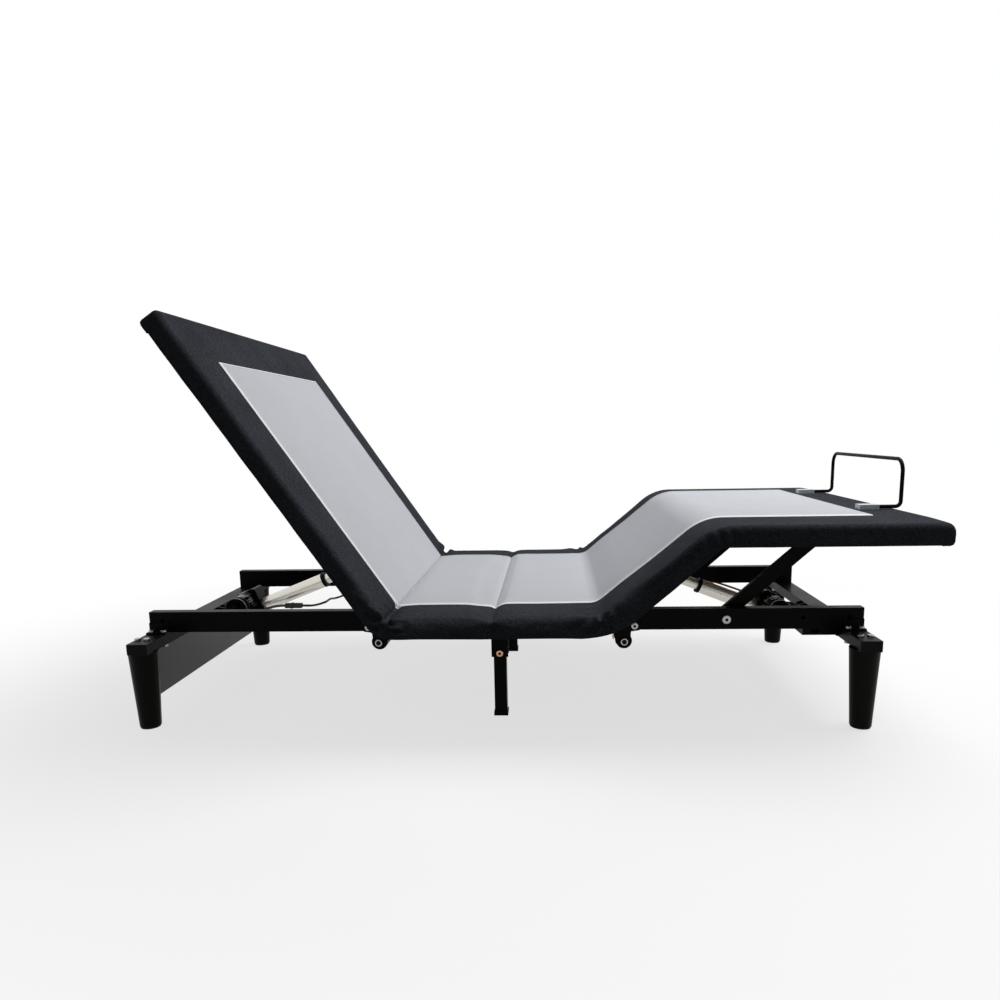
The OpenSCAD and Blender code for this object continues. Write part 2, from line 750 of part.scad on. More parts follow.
// foam and fabric over one section: [x at the foot, x at the top] of its two ends,
// and for each end whether its lower edge stops at the rails
module section_cover(end0, end1, in0, in1, stop0, stop1) {
    difference() {
        plate_y(-half_w, half_w) polygon([
            [end0[0], edge_h], [end1[0], edge_h], [end1[1], top_h], [end0[1], top_h]]);
        block(in0, in1, -half_w + edge_pad, half_w - edge_pad, edge_h + fabric_t, board_top_h);
        block(in0 + lath_w, in1 - lath_w, -half_w + edge_pad + lath_w, half_w - edge_pad - lath_w,
            edge_h - cut, edge_h + 2 * fabric_t);
        if (stop0) block(end0[0] - cut, in0 + lath_w + cut, -rail_room, rail_room, edge_h - cut, board_h);
        if (stop1) block(in1 - lath_w - cut, end1[0] + cut, -rail_room, rail_room, edge_h - cut, board_h);
    }
}

module section_board(in0, in1) {
    block(in0, in1, -half_w + edge_pad, half_w - edge_pad, board_h, board_top_h);
}

// a lath across the bed from x to x + lath_w, whole or in two parts that stop at the rails
module end_lath(x, stops) {
    lath_z = edge_h + fabric_t;
    out = half_w - edge_pad - lath_w;
    if (stops) both_sides() block(x, x + lath_w, rail_room, out, lath_z, board_h);
    else block(x, x + lath_w, -out, out, lath_z, board_h);
}

// laths along the four edges, under the board
module section_laths(in0, in1, stop0, stop1) {
    out = half_w - edge_pad;
    both_sides() block(in0, in1, out - lath_w, out, edge_h + fabric_t, board_h);
    end_lath(in0, stop0);
    end_lath(in1 - lath_w, stop1);
}

// a tube of a section frame, with a boss and bore at each [x, h] in pins
module frame_bar(x0, x1, y, pins, r) {
    difference() {
        union() {
            difference() {
                block(x0, x1, y, y + bar_w, bar_low_h, board_h);
                block(x0 - cut, x1 + cut, y + wall, y + bar_w - wall, bar_low_h + wall, board_h - wall);
            }
            for (p = pins) rod_y(r + 4, y, y + bar_w, p[0], p[1]);
        }
        for (p = pins) rod_y(r + fit, y - cut, y + bar_w + cut, p[0], p[1]);
    }
}

// a tube across the bed between the bars of a section frame
module frame_cross(x, y) {
    tube_y(x - bar_w / 2, x + bar_w / 2, -y, y, bar_low_h, board_h, wall);
}

// ---------------------------------------------------------------- seat

seat_rear_end = [-back_pivot_x + foot_lean, -back_pivot_x + back_lean];
seat_front_end = [thigh_pivot_x - valley_foot, thigh_pivot_x - thigh_lean];
seat_in0 = -back_pivot_x + back_inset;
seat_in1 = thigh_pivot_x - thigh_inset;
seam_gap = touch;
seam_in = seam_gap + edge_pad;
valley_cut = 25;         // how far the laths stop short of the boards at the thigh crease

module rail_tape() {
    color([0.25, 0.25, 0.25]) in_row() both_sides()
        block(seat_in0, seat_in1, rail_in + 2, rail_y - 2, rail_top, board_z);
}

module seat_boards() {
    color(wood) on_seat() {
        section_board(seat_in0, -seam_in);
        section_board(seam_in, seat_in1);
    }
}

module seat_laths() {
    color(wood) on_seat() {
        section_laths(seat_in0, -seam_in, true, true);
        section_laths(seam_in, seat_in1 - valley_cut, true, true);
    }
}

module seat_rear_cover() {
    color(cloth) on_seat()
        section_cover(seat_rear_end, [-seam_gap, -seam_gap], seat_in0, -seam_in, true, true);
}

module seat_front_cover() {
    color(cloth) on_seat()
        section_cover([seam_gap, seam_gap], seat_front_end, seam_in, seat_in1, true, true);
}

// ---------------------------------------------------------------- back

back_in1 = back_end - edge_pad;
track_w = 28;
// how far a wear strip runs below and above the roller's place at rest
back_track = [65, 58];
thigh_track = [48, 52];
track_gap = 4;           // between a wear strip's end and the tube above it
back_bar_end = back_len - 140;
back_cross_xs = [back_arm_len + back_track[1] + track_gap + bar_w / 2, back_bar_end - 2 * bar_w];
track_y = arm_y + arm_t / 2 + touch + roller_w / 2 - track_w / 2;

module back_board() {
    color(wood) on_back() section_board(back_inset, back_in1);
}

module back_laths() {
    color(wood) on_back() section_laths(back_inset, back_in1, true, false);
}

module back_cover() {
    color(cloth) on_back()
        section_cover([foot_lean, back_lean], [back_end, back_end], back_inset, back_in1, true, false);
}

module back_frame() {
    color(steel) on_back() {
        both_sides() frame_bar(-bar_start, back_bar_end, outer_bar_y, [[0, 0]], pivot_pin_r);
        for (x = back_cross_xs) frame_cross(x, outer_bar_y);
    }
}

// a flat strip under the board that the rollers push on
module wear_strip(arm_len, track) {
    both_sides() block(arm_len - track[0], arm_len + track[1], track_y, track_y + track_w,
        board_h - track_t, board_h);
}

module back_wear_strips() {
    color(zinc) on_back() wear_strip(back_arm_len, back_track);
}

// ---------------------------------------------------------------- thigh

thigh_in1 = thigh_len - knee_inset;
thigh_cross_x = 60;

module thigh_board() {
    color(wood) on_thigh() section_board(thigh_inset, thigh_in1);
}

module thigh_laths() {
    color(wood) on_thigh() section_laths(thigh_inset + valley_cut, thigh_in1, true, true);
}

module thigh_cover() {
    color(cloth) on_thigh() section_cover([valley_foot, thigh_lean],
        [thigh_len - knee_foot, thigh_len - knee_gap], thigh_inset, thigh_in1, true, true);
}

module thigh_frame() {
    color(steel) on_thigh() {
        both_sides() frame_bar(-bar_start, thigh_len, thigh_bar_y, [[0, 0], [thigh_len, 0]],
            pivot_pin_r);
        frame_cross(thigh_cross_x, thigh_bar_y);
    }
}

module thigh_wear_strips() {
    color(zinc) on_thigh() wear_strip(thigh_arm_len, thigh_track);
}

// pins that join the thigh frame to the calf frame
module knee_bolts() {
    color(zinc) in_row() both_sides() {
        rod_y(pivot_pin_r, calf_bar_y - touch, thigh_bar_y + bar_w, knee_x, knee_z);
        rod_y(10, thigh_bar_y + bar_w, thigh_bar_y + bar_w + 3, knee_x, knee_z);
        rod_y(9, calf_bar_y + bar_w + touch, thigh_bar_y, knee_x, knee_z);
        rod_y(10, calf_bar_y - 3 - touch, calf_bar_y - touch, knee_x, knee_z);
    }
}

// ---------------------------------------------------------------- calf

calf_in1 = calf_len - edge_pad;
calf_bar_end = calf_in1 - lath_w - 1;
calf_cross_xs = [60, calf_bar_end - 132, calf_bar_end - 20];
link_top_dx = link_top_x - knee_x;
link_top_dz = link_top_z - knee_z;

module calf_board() {
    color(wood) on_calf() section_board(knee_inset, calf_in1);
}

module calf_laths() {
    color(wood) on_calf() section_laths(knee_inset, calf_in1, true, false);
}

module calf_cover() {
    color(cloth) on_calf()
        section_cover([knee_foot, knee_gap], [calf_len, calf_len], knee_inset, calf_in1, true, false);
}

module calf_frame() {
    color(steel) on_calf() {
        both_sides() frame_bar(0, calf_bar_end, calf_bar_y, [[0, 0], [link_top_dx, link_top_dz]],
            pivot_pin_r);
        for (x = calf_cross_xs) frame_cross(x, calf_bar_y);
    }
}

// pins on the calf frame that the links hang on
module link_pins() {
    color(zinc) in_row() both_sides() {
        rod_y(pivot_pin_r, calf_bar_y, link_y + link_t + 2, link_top_x, link_top_z);
        rod_y(10, calf_bar_y - 3, calf_bar_y, link_top_x, link_top_z);
        rod_y(9, calf_bar_y + bar_w, link_y - touch, link_top_x, link_top_z);
        rod_y(9, link_y + link_t + touch, link_y + link_t + 3, link_top_x, link_top_z);
    }
}

module calf_links() {
    color(steel) in_row() both_sides() translate([link_x, 0, link_z]) rotate([0, -thigh_rest, 0])
        difference() {
            plate_y(link_y, link_y + link_t) {
                circle(r = link_r);
                translate([link_len, 0]) circle(r = link_r);
                translate([0, -link_r]) square([link_len, 2 * link_r]);
            }
            rod_y(link_bolt_r + fit, link_y - cut, link_y + link_t + cut);
            rod_y(pivot_pin_r + touch, link_y - cut, link_y + link_t + cut, link_len);
        }
}

// ---------------------------------------------------------------- lift tubes

// welded: a tube with end bushes, two arms with roller pins and two lever plates with windows
module lift_weldment(arm_len, window, lever_turn) {
    difference() {
        rod_y(lift_tube_r, -tube_half, tube_half);
        rod_y(lift_tube_r - wall, -tube_half + lift_bolt_in, tube_half - lift_bolt_in);
        rod_y(pivot_pin_r + fit, tube_half - lift_bolt_in - cut, tube_half + cut);
        rod_y(pivot_pin_r + fit, -tube_half - cut, -tube_half + lift_bolt_in + cut);
    }
    both_sides() {
        difference() {
            plate_y(arm_y - arm_t / 2, arm_y + arm_t / 2)
                lobes([[0, 0, lift_tube_r + 3], [arm_len, 0, arm_tip_r]]);
            rod_y(lift_tube_r, arm_y - arm_t, arm_y + arm_t);
        }
        rod_y(roller_pin_r, arm_y, arm_y + arm_t / 2 + roller_w + 4, arm_len);
        rotate([0, -lever_turn, 0]) difference() {
            plate_y(lever_gap, lever_gap + lever_t) lobes([[0, 0, lift_tube_r + 3],
                [window[0] - window[3], window[1], window[2] + lever_rim],
                [window[0] + window[3], window[1], window[2] + lever_rim]]);
            rod_y(lift_tube_r, lever_gap - cut, lever_gap + lever_t + cut);
            plate_y(lever_gap - cut, lever_gap + lever_t + cut)
                translate([window[0], window[1]]) rotate(window[4]) lever_window(window[2], window[3]);
        }
    }
}

// the long hole that the rod pin rides in
module lever_window(r, half) {
    for (side = [-1, 1]) translate([side * half, 0]) circle(r = r);
    translate([-half, -r]) square([2 * half, 2 * r]);
}

module back_lift() {
    color(steel) on_back_lift(back_arm)
        lift_weldment(back_arm_len, back_window, back_lever_angle - back_arm);
}

module thigh_lift() {
    color(steel) on_thigh_lift(thigh_arm)
        lift_weldment(thigh_arm_len, thigh_window, thigh_lever_angle - thigh_arm);
}

module roller_pair(arm_len) {
    y = arm_y + arm_t / 2 + touch;
    both_sides() difference() {
        rod_y(roller_r, y, y + roller_w, arm_len);
        rod_y(roller_pin_r + fit / 2, y - cut, y + roller_w + cut, arm_len);
    }
}

module back_lift_rollers() {
    color([0.85, 0.85, 0.82]) on_back_lift(back_arm) roller_pair(back_arm_len);
}

module thigh_lift_rollers() {
    color([0.85, 0.85, 0.82]) on_thigh_lift(thigh_arm) roller_pair(thigh_arm_len);
}

// ---------------------------------------------------------------- actuators

// gearbox with a tail lug, and a motor that lies across the bed
module drive() {
    difference() {
        union() {
            plate_y(-gear_w / 2, gear_w / 2) gear_outline();
            plate_y(-tail_w / 2, tail_w / 2) {
                circle(r = tail_r);
                translate([0, -tail_r]) square([gear_start + cut, 2 * tail_r]);
            }
        }
        rod_y(tail_pin_r + fit, -tail_w, tail_w);
        translate([gear_end - 12, 0, 0]) rotate([0, 90, 0]) cylinder(r = tube_r, h = 12 + cut);
    }
    rod_y(motor_r, -gear_w / 2 - motor_len, -gear_w / 2, motor_along, motor_up);
}

// the gearbox seen from the side, with rounded corners
module gear_outline() {
    r = 8;
    translate([gear_start + r, -gear_low]) square([gear_end - gear_start - 2 * r, gear_low + gear_high]);
    translate([gear_start, -gear_low + r]) square([gear_end - gear_start, gear_low + gear_high - 2 * r]);
    for (x = [gear_start + r, gear_end - r], z = [-gear_low + r, gear_high - r])
        translate([x, z]) circle(r = r);
}

module tube_along(r_out, r_in, x0, x1) {
    translate([x0, 0, 0]) rotate([0, 90, 0]) difference() {
        cylinder(r = r_out, h = x1 - x0);
        translate([0, 0, -cut]) cylinder(r = r_in, h = x1 - x0 + 2 * cut);
    }
}

collar_len = 9;
rod_clear = 0.4;
module outer_tube(tube_end) {
    tube_along(tube_r, rod_r + rod_clear + 1, gear_end - 12, tube_end - collar_len);
}

module tube_collar(tube_end) {
    tube_along(tube_r + 1.5, rod_r + rod_clear, tube_end - collar_len, tube_end);
}

// length of the rods, from the end inside the tube to the pin
back_rod_len = 208;
thigh_rod_len = 182;

// push rod with a flat eye that fits between the lever plates
module push_rod(reach, rod_start) {
    difference() {
        union() {
            translate([rod_start, 0, 0]) rotate([0, 90, 0])
                cylinder(r = rod_r, h = reach - eye_r - rod_start);
            rod_y(eye_r, -lever_gap + 2, lever_gap - 2, reach);
            block(reach - eye_r, reach, -lever_gap + 4, lever_gap - 4, -eye_r + 2, eye_r - 2);
        }
        rod_y(rod_pin_r, -lever_gap, lever_gap, reach);
    }
}

// pin through the eye, with a wide washer outside each lever plate
module rod_pin(reach, washer_r) {
    outside = lever_gap + lever_t + touch;
    rod_y(rod_pin_r, -outside - 5, outside + 5, reach);
    both_sides() rod_y(washer_r, outside, outside + 2, reach);
}

module back_drive() {
    color(black) on_back_actuator() drive();
}

module back_outer_tube() {
    color(alloy) on_back_actuator() outer_tube(back_tube_end);
}

module back_tube_collar() {
    color(black) on_back_actuator() tube_collar(back_tube_end);
}

module back_push_rod() {
    color(alloy) on_back_actuator() push_rod(back_reach, back_reach - back_rod_len);
}

module back_rod_pin() {
    color(zinc) on_back_actuator() rod_pin(back_reach, 18);
}

module thigh_drive() {
    color(black) on_thigh_actuator() drive();
}

module thigh_outer_tube() {
    color(alloy) on_thigh_actuator() outer_tube(thigh_tube_end);
}

module thigh_tube_collar() {
    color(black) on_thigh_actuator() tube_collar(thigh_tube_end);
}

module thigh_push_rod() {
    color(alloy) on_thigh_actuator() push_rod(thigh_reach, thigh_reach - thigh_rod_len);
}

module thigh_rod_pin() {
    color(zinc) on_thigh_actuator() rod_pin(thigh_reach, 14);
}

// ---------------------------------------------------------------- electrics

// case with a mounting flange on the foot beam and a mains inlet in its end
module control_box() {
    x1 = foot_beam_x - beam_w / 2;
    color(black) in_row() difference() {
        union() {
            block(x1 - box_len, x1 - 3, box_y - box_w / 2, box_y + box_w / 2, box_z, box_z + box_h);
            block(x1 - 3, x1, box_y - box_w / 2 - 10, box_y + box_w / 2 + 10, beam_z, rail_z);
        }
        block(x1 - 60, x1 - 40, box_y - box_w / 2 - cut, box_y - box_w / 2 + 14, box_z + 6,
            box_z + 18);
    }
}

// points on a smooth curve through the route
function blend_point(a, b, c, d, t) = 0.5 * (2 * b + (c - a) * t + (2 * a - 5 * b + 4 * c - d) * t * t
    + (3 * b - a - 3 * c + d) * t * t * t);
function smooth_route(p, steps) = let (n = len(p) - 1) concat(
    [for (i = [0:n - 1], k = [0:steps - 1]) blend_point(p[max(i - 1, 0)], p[i], p[i + 1], p[min(i + 2, n)],
        k / steps)], [p[n]]);
function unit(v) = v / norm(v);

// a round lead along a route, as one closed solid
module lead(route, r, steps) {
    sides = 8;
    path = smooth_route(route, steps);
    last = len(path) - 1;
    points = [for (i = [0:last])
        let (along = unit(path[min(i + 1, last)] - path[max(i - 1, 0)]), side = unit(cross(along, [0, 0, 1])),
            up = cross(side, along))
        for (k = [0:sides - 1]) path[i] + r * (cos(360 * k / sides) * side + sin(360 * k / sides) * up)];
    walls = [for (i = [0:last - 1], k = [0:sides - 1])
        [i * sides + k, i * sides + (k + 1) % sides, (i + 1) * sides + (k + 1) % sides, (i + 1) * sides + k]];
    ends = [[for (k = [sides - 1:-1:0]) k], [for (k = [0:sides - 1]) last * sides + k]];
    polyhedron(points, concat(walls, ends));
}

module back_motor_lead() {
    color(black) on_back_actuator() lead(back_lead_route, back_lead_r, 4);
}

// two-part plug that joins the motor lead to the harness, strapped beside the outer tube
module lead_connector() {
    color(black) on_back_actuator() translate([plug_start, plug_y, -plug_down]) rotate([0, back_line, 0]) {
        block(0, plug_len, -7, 7, -6, 6);
        block(16, 22, -8, 8, -7, 7);
    }
    color([0.3, 0.06, 0.05]) in_row() lead(pigtail_route, harness_r, 3);
}

module wiring_harness() {
    color([0.3, 0.06, 0.05]) in_row() lead(harness_route, harness_r, 3);
}

// clips on the inner face of the far rail
clip_xs = [-360, -120, 120, 360, 590];
module cable_clips() {
    color(black) in_row() for (x = clip_xs) difference() {
        block(x - 6, x + 6, clip_y - harness_r - 2, rail_in, clip_z - harness_r - 2, clip_z + harness_r + 2);
        translate([x - 6 - cut, clip_y, clip_z]) rotate([0, 90, 0])
            cylinder(r = harness_r + touch, h = 12 + 2 * cut);
    }
}

module thigh_motor_lead() {
    color(black) in_row() lead(thigh_lead_route, back_lead_r, 4);
}

// ---------------------------------------------------------------- retainer bar

socket_h0 = top_h + touch;
bar_h0 = socket_h0 + socket_h / 2;
bar_top_h = top_h + bar_rise;

// one bent rod: level foot, upright, top
module retainer_bar() {
    y = bar_span / 2;
    color(black) on_calf() {
        both_sides() {
            translate([socket_end - socket_len + 3, y, bar_h0]) rotate([0, 90, 0])
                cylinder(r = bar_r, h = bar_up_x - foot_bend_r - socket_end + socket_len - 3);
            translate([bar_up_x - foot_bend_r, y, bar_h0 + foot_bend_r]) rotate([90, 0, 0])
                rotate([0, 0, -90]) rotate_extrude(angle = 90) translate([foot_bend_r, 0]) circle(r = bar_r);
            translate([bar_up_x, y, bar_h0 + foot_bend_r])
                cylinder(r = bar_r, h = bar_top_h - bar_h0 - foot_bend_r - top_bend_r);
            translate([bar_up_x, y - top_bend_r, bar_top_h - top_bend_r]) rotate([90, 0, 90])
                rotate_extrude(angle = 90) translate([top_bend_r, 0]) circle(r = bar_r);
        }
        rod_y(bar_r, -y + top_bend_r, y - top_bend_r, bar_up_x, bar_top_h);
    }
}

module retainer_sockets() {
    color([0.8, 0.8, 0.8]) on_calf() both_sides() difference() {
        block(socket_end - socket_len, socket_end, bar_span / 2 - socket_w / 2, bar_span / 2 + socket_w / 2,
            socket_h0, socket_h0 + socket_h);
        translate([socket_end - socket_len + 2, bar_span / 2, bar_h0]) rotate([0, 90, 0])
            cylinder(r = bar_r + fit, h = socket_len);
    }
}

// ---------------------------------------------------------------- nodes

near_rails();
far_rails();
rail_splices();
end_caps();
rail_flanges();
cross_beams();
apron_plate();
frame_bolts();
corner_legs();
leg_glides();
pivot_brackets();
pivot_bolts();
centre_leg_brackets();
centre_leg_near();
centre_leg_far();
rail_tape();
seat_boards();
seat_laths();
seat_rear_cover();
seat_front_cover();
back_board();
back_laths();
back_cover();
back_frame();
back_wear_strips();
thigh_board();
thigh_laths();
thigh_cover();
thigh_frame();
thigh_wear_strips();
knee_bolts();
calf_board();
calf_laths();
calf_cover();
calf_frame();
link_pins();
calf_links();
back_lift();
back_lift_rollers();
thigh_lift();
thigh_lift_rollers();
actuator_brackets();
back_drive();
back_outer_tube();
back_tube_collar();
back_push_rod();
back_rod_pin();
thigh_drive();
thigh_outer_tube();
thigh_tube_collar();
thigh_push_rod();
thigh_rod_pin();
control_box();
back_motor_lead();
lead_connector();
wiring_harness();
cable_clips();
thigh_motor_lead();
retainer_bar();
retainer_sockets();
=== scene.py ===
import json
import math

import bmesh
import bpy
import numpy as np
from mathutils import Matrix, Vector


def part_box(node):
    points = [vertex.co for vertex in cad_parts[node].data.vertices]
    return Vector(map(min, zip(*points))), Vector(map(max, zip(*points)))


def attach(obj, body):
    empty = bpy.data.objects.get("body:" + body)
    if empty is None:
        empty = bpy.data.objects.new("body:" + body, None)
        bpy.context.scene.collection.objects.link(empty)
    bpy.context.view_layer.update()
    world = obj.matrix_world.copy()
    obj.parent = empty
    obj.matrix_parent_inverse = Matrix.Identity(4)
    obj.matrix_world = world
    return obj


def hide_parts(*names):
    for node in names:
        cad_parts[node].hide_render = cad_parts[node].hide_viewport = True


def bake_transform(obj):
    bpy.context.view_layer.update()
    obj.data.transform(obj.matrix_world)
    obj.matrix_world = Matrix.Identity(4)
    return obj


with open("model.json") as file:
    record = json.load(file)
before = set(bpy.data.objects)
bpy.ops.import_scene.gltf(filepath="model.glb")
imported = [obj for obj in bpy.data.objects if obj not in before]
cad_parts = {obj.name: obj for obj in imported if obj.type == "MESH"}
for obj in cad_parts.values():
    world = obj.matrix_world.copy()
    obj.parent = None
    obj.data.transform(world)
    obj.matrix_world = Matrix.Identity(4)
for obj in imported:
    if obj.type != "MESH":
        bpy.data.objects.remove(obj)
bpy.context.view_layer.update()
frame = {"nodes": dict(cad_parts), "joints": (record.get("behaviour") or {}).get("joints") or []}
joints = {joint["name"]: joint for joint in frame["joints"]}

# ---- camera and studio
# The bed stands on a pale floor in a white room, seen from its near side a little above the deck.
# One broad overhead softbox lights the deck, and the sides get only what the room gives back.


def add_object(name, data):
    """A new object of the scene with the given mesh, lamp, camera or curve."""
    made = bpy.data.objects.new(name, data)
    bpy.context.scene.collection.objects.link(made)
    return made


camera_place = (0.0888, -2.0560, 0.6841)
camera_yaw, camera_pitch, camera_roll = -0.0454, 0.1727, -0.0172
camera = bpy.data.cameras.new("camera")
camera.lens = 27.57
camera.sensor_width = 36
camera.shift_x = -0.0191
camera.shift_y = 0.0630
ahead = Vector((
    math.sin(camera_yaw) * math.cos(camera_pitch),
    math.cos(camera_yaw) * math.cos(camera_pitch),
    -math.sin(camera_pitch),
))
level = Vector((math.cos(camera_yaw), -math.sin(camera_yaw), 0))
above = level.cross(ahead)
right = math.cos(camera_roll) * level + math.sin(camera_roll) * above
upward = math.cos(camera_roll) * above - math.sin(camera_roll) * level
camera_turn = Matrix((right, upward, -ahead)).transposed().to_4x4()
camera_stand = add_object("camera", camera)
camera_stand.matrix_world = Matrix.Translation(camera_place) @ camera_turn
bpy.context.scene.camera = camera_stand
bpy.context.scene.view_settings.view_transform = "Standard"


def softbox(name, place, aim, width, depth, watts):
    """A rectangular lamp that points from place to aim."""
    lamp = bpy.data.lights.new(name, "AREA")
    lamp.shape = "RECTANGLE"
    lamp.size, lamp.size_y, lamp.energy = width, depth, watts
    stand = add_object(name, lamp)
    stand.location = place
    stand.rotation_euler = (Vector(aim) - Vector(place)).to_track_quat("-Z", "Y").to_euler()


softbox("softbox_overhead", (1.25, 0.45, 2.65), (0.20, 0.10, 0.35), 2.4, 2.2, 88)


def new_material(name):
    """A material with an empty node tree but its output; returns it with its node tree."""
    material = bpy.data.materials.new(name)
    material.use_nodes = True
    tree = material.node_tree
    tree.nodes.clear()
    tree.nodes.new("ShaderNodeOutputMaterial").name = "output"
    return material, tree


def join(tree, source, target):
    tree.links.new(source, target)


def math_node(tree, operation, first, second=None, clamp=False):
    """A Math node whose inputs are numbers or sockets; returns its output."""
    node = tree.nodes.new("ShaderNodeMath")
    node.operation = operation
    node.use_clamp = clamp
    for socket, value in zip(node.inputs, (first, second)):
        if isinstance(value, (int, float)):
            socket.default_value = value
        elif value is not None:
            join(tree, value, socket)
    return node.outputs[0]


def plus(tree, first, second, clamp=False):
    return math_node(tree, "ADD", first, second, clamp)


def times(tree, first, second, clamp=False):
    return math_node(tree, "MULTIPLY", first, second, clamp)


def ramp(tree, factor, low, high):
    """0 below low, 1 above high and a smooth step between."""
    node = tree.nodes.new("ShaderNodeMapRange")
    node.interpolation_type = "SMOOTHSTEP"
    node.inputs["From Min"].default_value = low
    node.inputs["From Max"].default_value = high
    join(tree, factor, node.inputs["Value"])
    return node.outputs[0]


def blend_colours(tree, factor, first, second):
    """A colour Mix node whose inputs are numbers, colours or sockets; returns its output."""
    node = tree.nodes.new("ShaderNodeMix")
    node.data_type = "RGBA"
    for socket, value in zip((node.inputs[0], node.inputs[6], node.inputs[7]), (factor, first, second)):
        if isinstance(value, (int, float)):
            socket.default_value = value
        elif isinstance(value, tuple):
            socket.default_value = (*value, 1)
        else:
            join(tree, value, socket)
    return node.outputs[2]


def noise(tree, coordinates, scale, detail=2.0, stretch=(1, 1, 1)):
    """A noise texture over coordinates stretched along each axis; returns its factor."""
    mapping = tree.nodes.new("ShaderNodeMapping")
    mapping.inputs["Scale"].default_value = stretch
    join(tree, coordinates, mapping.inputs["Vector"])
    node = tree.nodes.new("ShaderNodeTexNoise")
    node.inputs["Scale"].default_value = scale
    node.inputs["Detail"].default_value = detail
    join(tree, mapping.outputs[0], node.inputs["Vector"])
    return node.outputs["Fac"]


def seen_directly(tree):
    """1 for what the camera sees, also through glass or in a reflection, and 0 for light that bounces."""
    rays = tree.nodes.new("ShaderNodeLightPath").outputs
    direct = math_node(tree, "MAXIMUM", rays["Is Camera Ray"], rays["Is Glossy Ray"])
    return math_node(tree, "MAXIMUM", direct, rays["Is Transmission Ray"])


floor_mesh = bpy.data.meshes.new("floor")
floor_half, floor_gap = 14.0, 0.0005
floor_corners = [(x * floor_half, y * floor_half, 0) for x, y in ((-1, -1), (1, -1), (1, 1), (-1, 1))]
floor_mesh.from_pydata(floor_corners, [], [(0, 1, 2, 3)])
floor = add_object("floor", floor_mesh)
floor.location.z = -floor_gap
floor_paint, tree = new_material("floor_paint")
place = tree.nodes.new("ShaderNodeTexCoord").outputs["Object"]
distance = tree.nodes.new("ShaderNodeVectorMath")
distance.operation = "LENGTH"
join(tree, place, distance.inputs[0])
matt = tree.nodes.new("ShaderNodeBsdfDiffuse")
matt.inputs["Color"].default_value = (0.90, 0.90, 0.90, 1)
white = tree.nodes.new("ShaderNodeEmission")
fade = tree.nodes.new("ShaderNodeMixShader")
shadow_left = 0.30
outer = ramp(tree, distance.outputs["Value"], 0.8, 2.2)
join(tree, plus(tree, times(tree, outer, shadow_left), 1 - shadow_left), fade.inputs[0])
join(tree, matt.outputs[0], fade.inputs[1])
join(tree, white.outputs[0], fade.inputs[2])
# the floor is white to the eye and in reflections, and throws only a little light up at the bed
dull = tree.nodes.new("ShaderNodeBsdfDiffuse")
dull.inputs["Color"].default_value = (0.22, 0.22, 0.22, 1)
shown = tree.nodes.new("ShaderNodeMixShader")
join(tree, seen_directly(tree), shown.inputs[0])
join(tree, dull.outputs[0], shown.inputs[1])
join(tree, fade.outputs[0], shown.inputs[2])
join(tree, shown.outputs[0], tree.nodes["output"].inputs["Surface"])
floor_mesh.materials.append(floor_paint)

room = bpy.data.worlds.new("room")
room.use_nodes = True
tree = room.node_tree
tree.nodes.clear()
background = tree.nodes.new("ShaderNodeBackground")
background.inputs["Color"].default_value = (1, 1, 1, 1)
room_light = 0.17
strength = plus(tree, times(tree, seen_directly(tree), 1 - room_light), room_light)
join(tree, strength, background.inputs["Strength"])
join(tree, background.outputs[0], tree.nodes.new("ShaderNodeOutputWorld").inputs["Surface"])
bpy.context.scene.world = room

# ---- upholstery
# Woven charcoal cloth pulled over foam on every section and stapled underneath, sewn across the seat,
# with a pale mesh panel let into its top. It turns round both ends and gathers where the deck folds.

# heights are above the line through the pivots, and s runs along a section from its pivot
top_h, low_h = 0.042, -0.003
half_width = 0.4825
return_y, end_return = 0.450, 0.030
panel_y, panel_margin = 0.3485, 0.118


def pivot_of(name):
    place = joints[name]["pos_m"]
    return np.array([place[0], place[2]])


back_pivot, thigh_pivot, knee = pivot_of("back_tilt"), pivot_of("thigh_tilt"), pivot_of("knee_fold")
back_angle = math.radians(-joints["back_tilt"]["range_deg"][0])
thigh_angle = math.atan2(*(knee - thigh_pivot)[::-1])
back_half, thigh_half = back_angle / 2, thigh_angle / 2
thigh_len = float(np.linalg.norm(knee - thigh_pivot))
head_crown = 0.004
head_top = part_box("back_cover")[1].z + head_crown
head_s = (head_top - back_pivot[1] - top_h * math.cos(back_angle)) / math.sin(back_angle)
foot_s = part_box("calf_cover")[1].x - knee[0]


def on_back(s, h):
    along = np.array([-math.cos(back_angle), math.sin(back_angle)])
    up = np.array([math.sin(back_angle), math.cos(back_angle)])
    return back_pivot + s * along + h * up


def on_thigh(s, h):
    along = np.array([math.cos(thigh_angle), math.sin(thigh_angle)])
    up = np.array([-math.sin(thigh_angle), math.cos(thigh_angle)])
    return thigh_pivot + s * along + h * up


def on_calf(s, h):
    return knee + np.array([s, h])


def on_seat(x, h):
    return np.array([x, back_pivot[1] + h])


seam_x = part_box("seat_rear_cover")[1].x + 0.0002
thigh_cut = 0.55 * thigh_len


def crease(pivot, half_angle, lean, h):
    """Where two sections' lines at height h meet, above or below the pivot they share."""
    return pivot + np.array([lean * h * math.tan(half_angle), h])


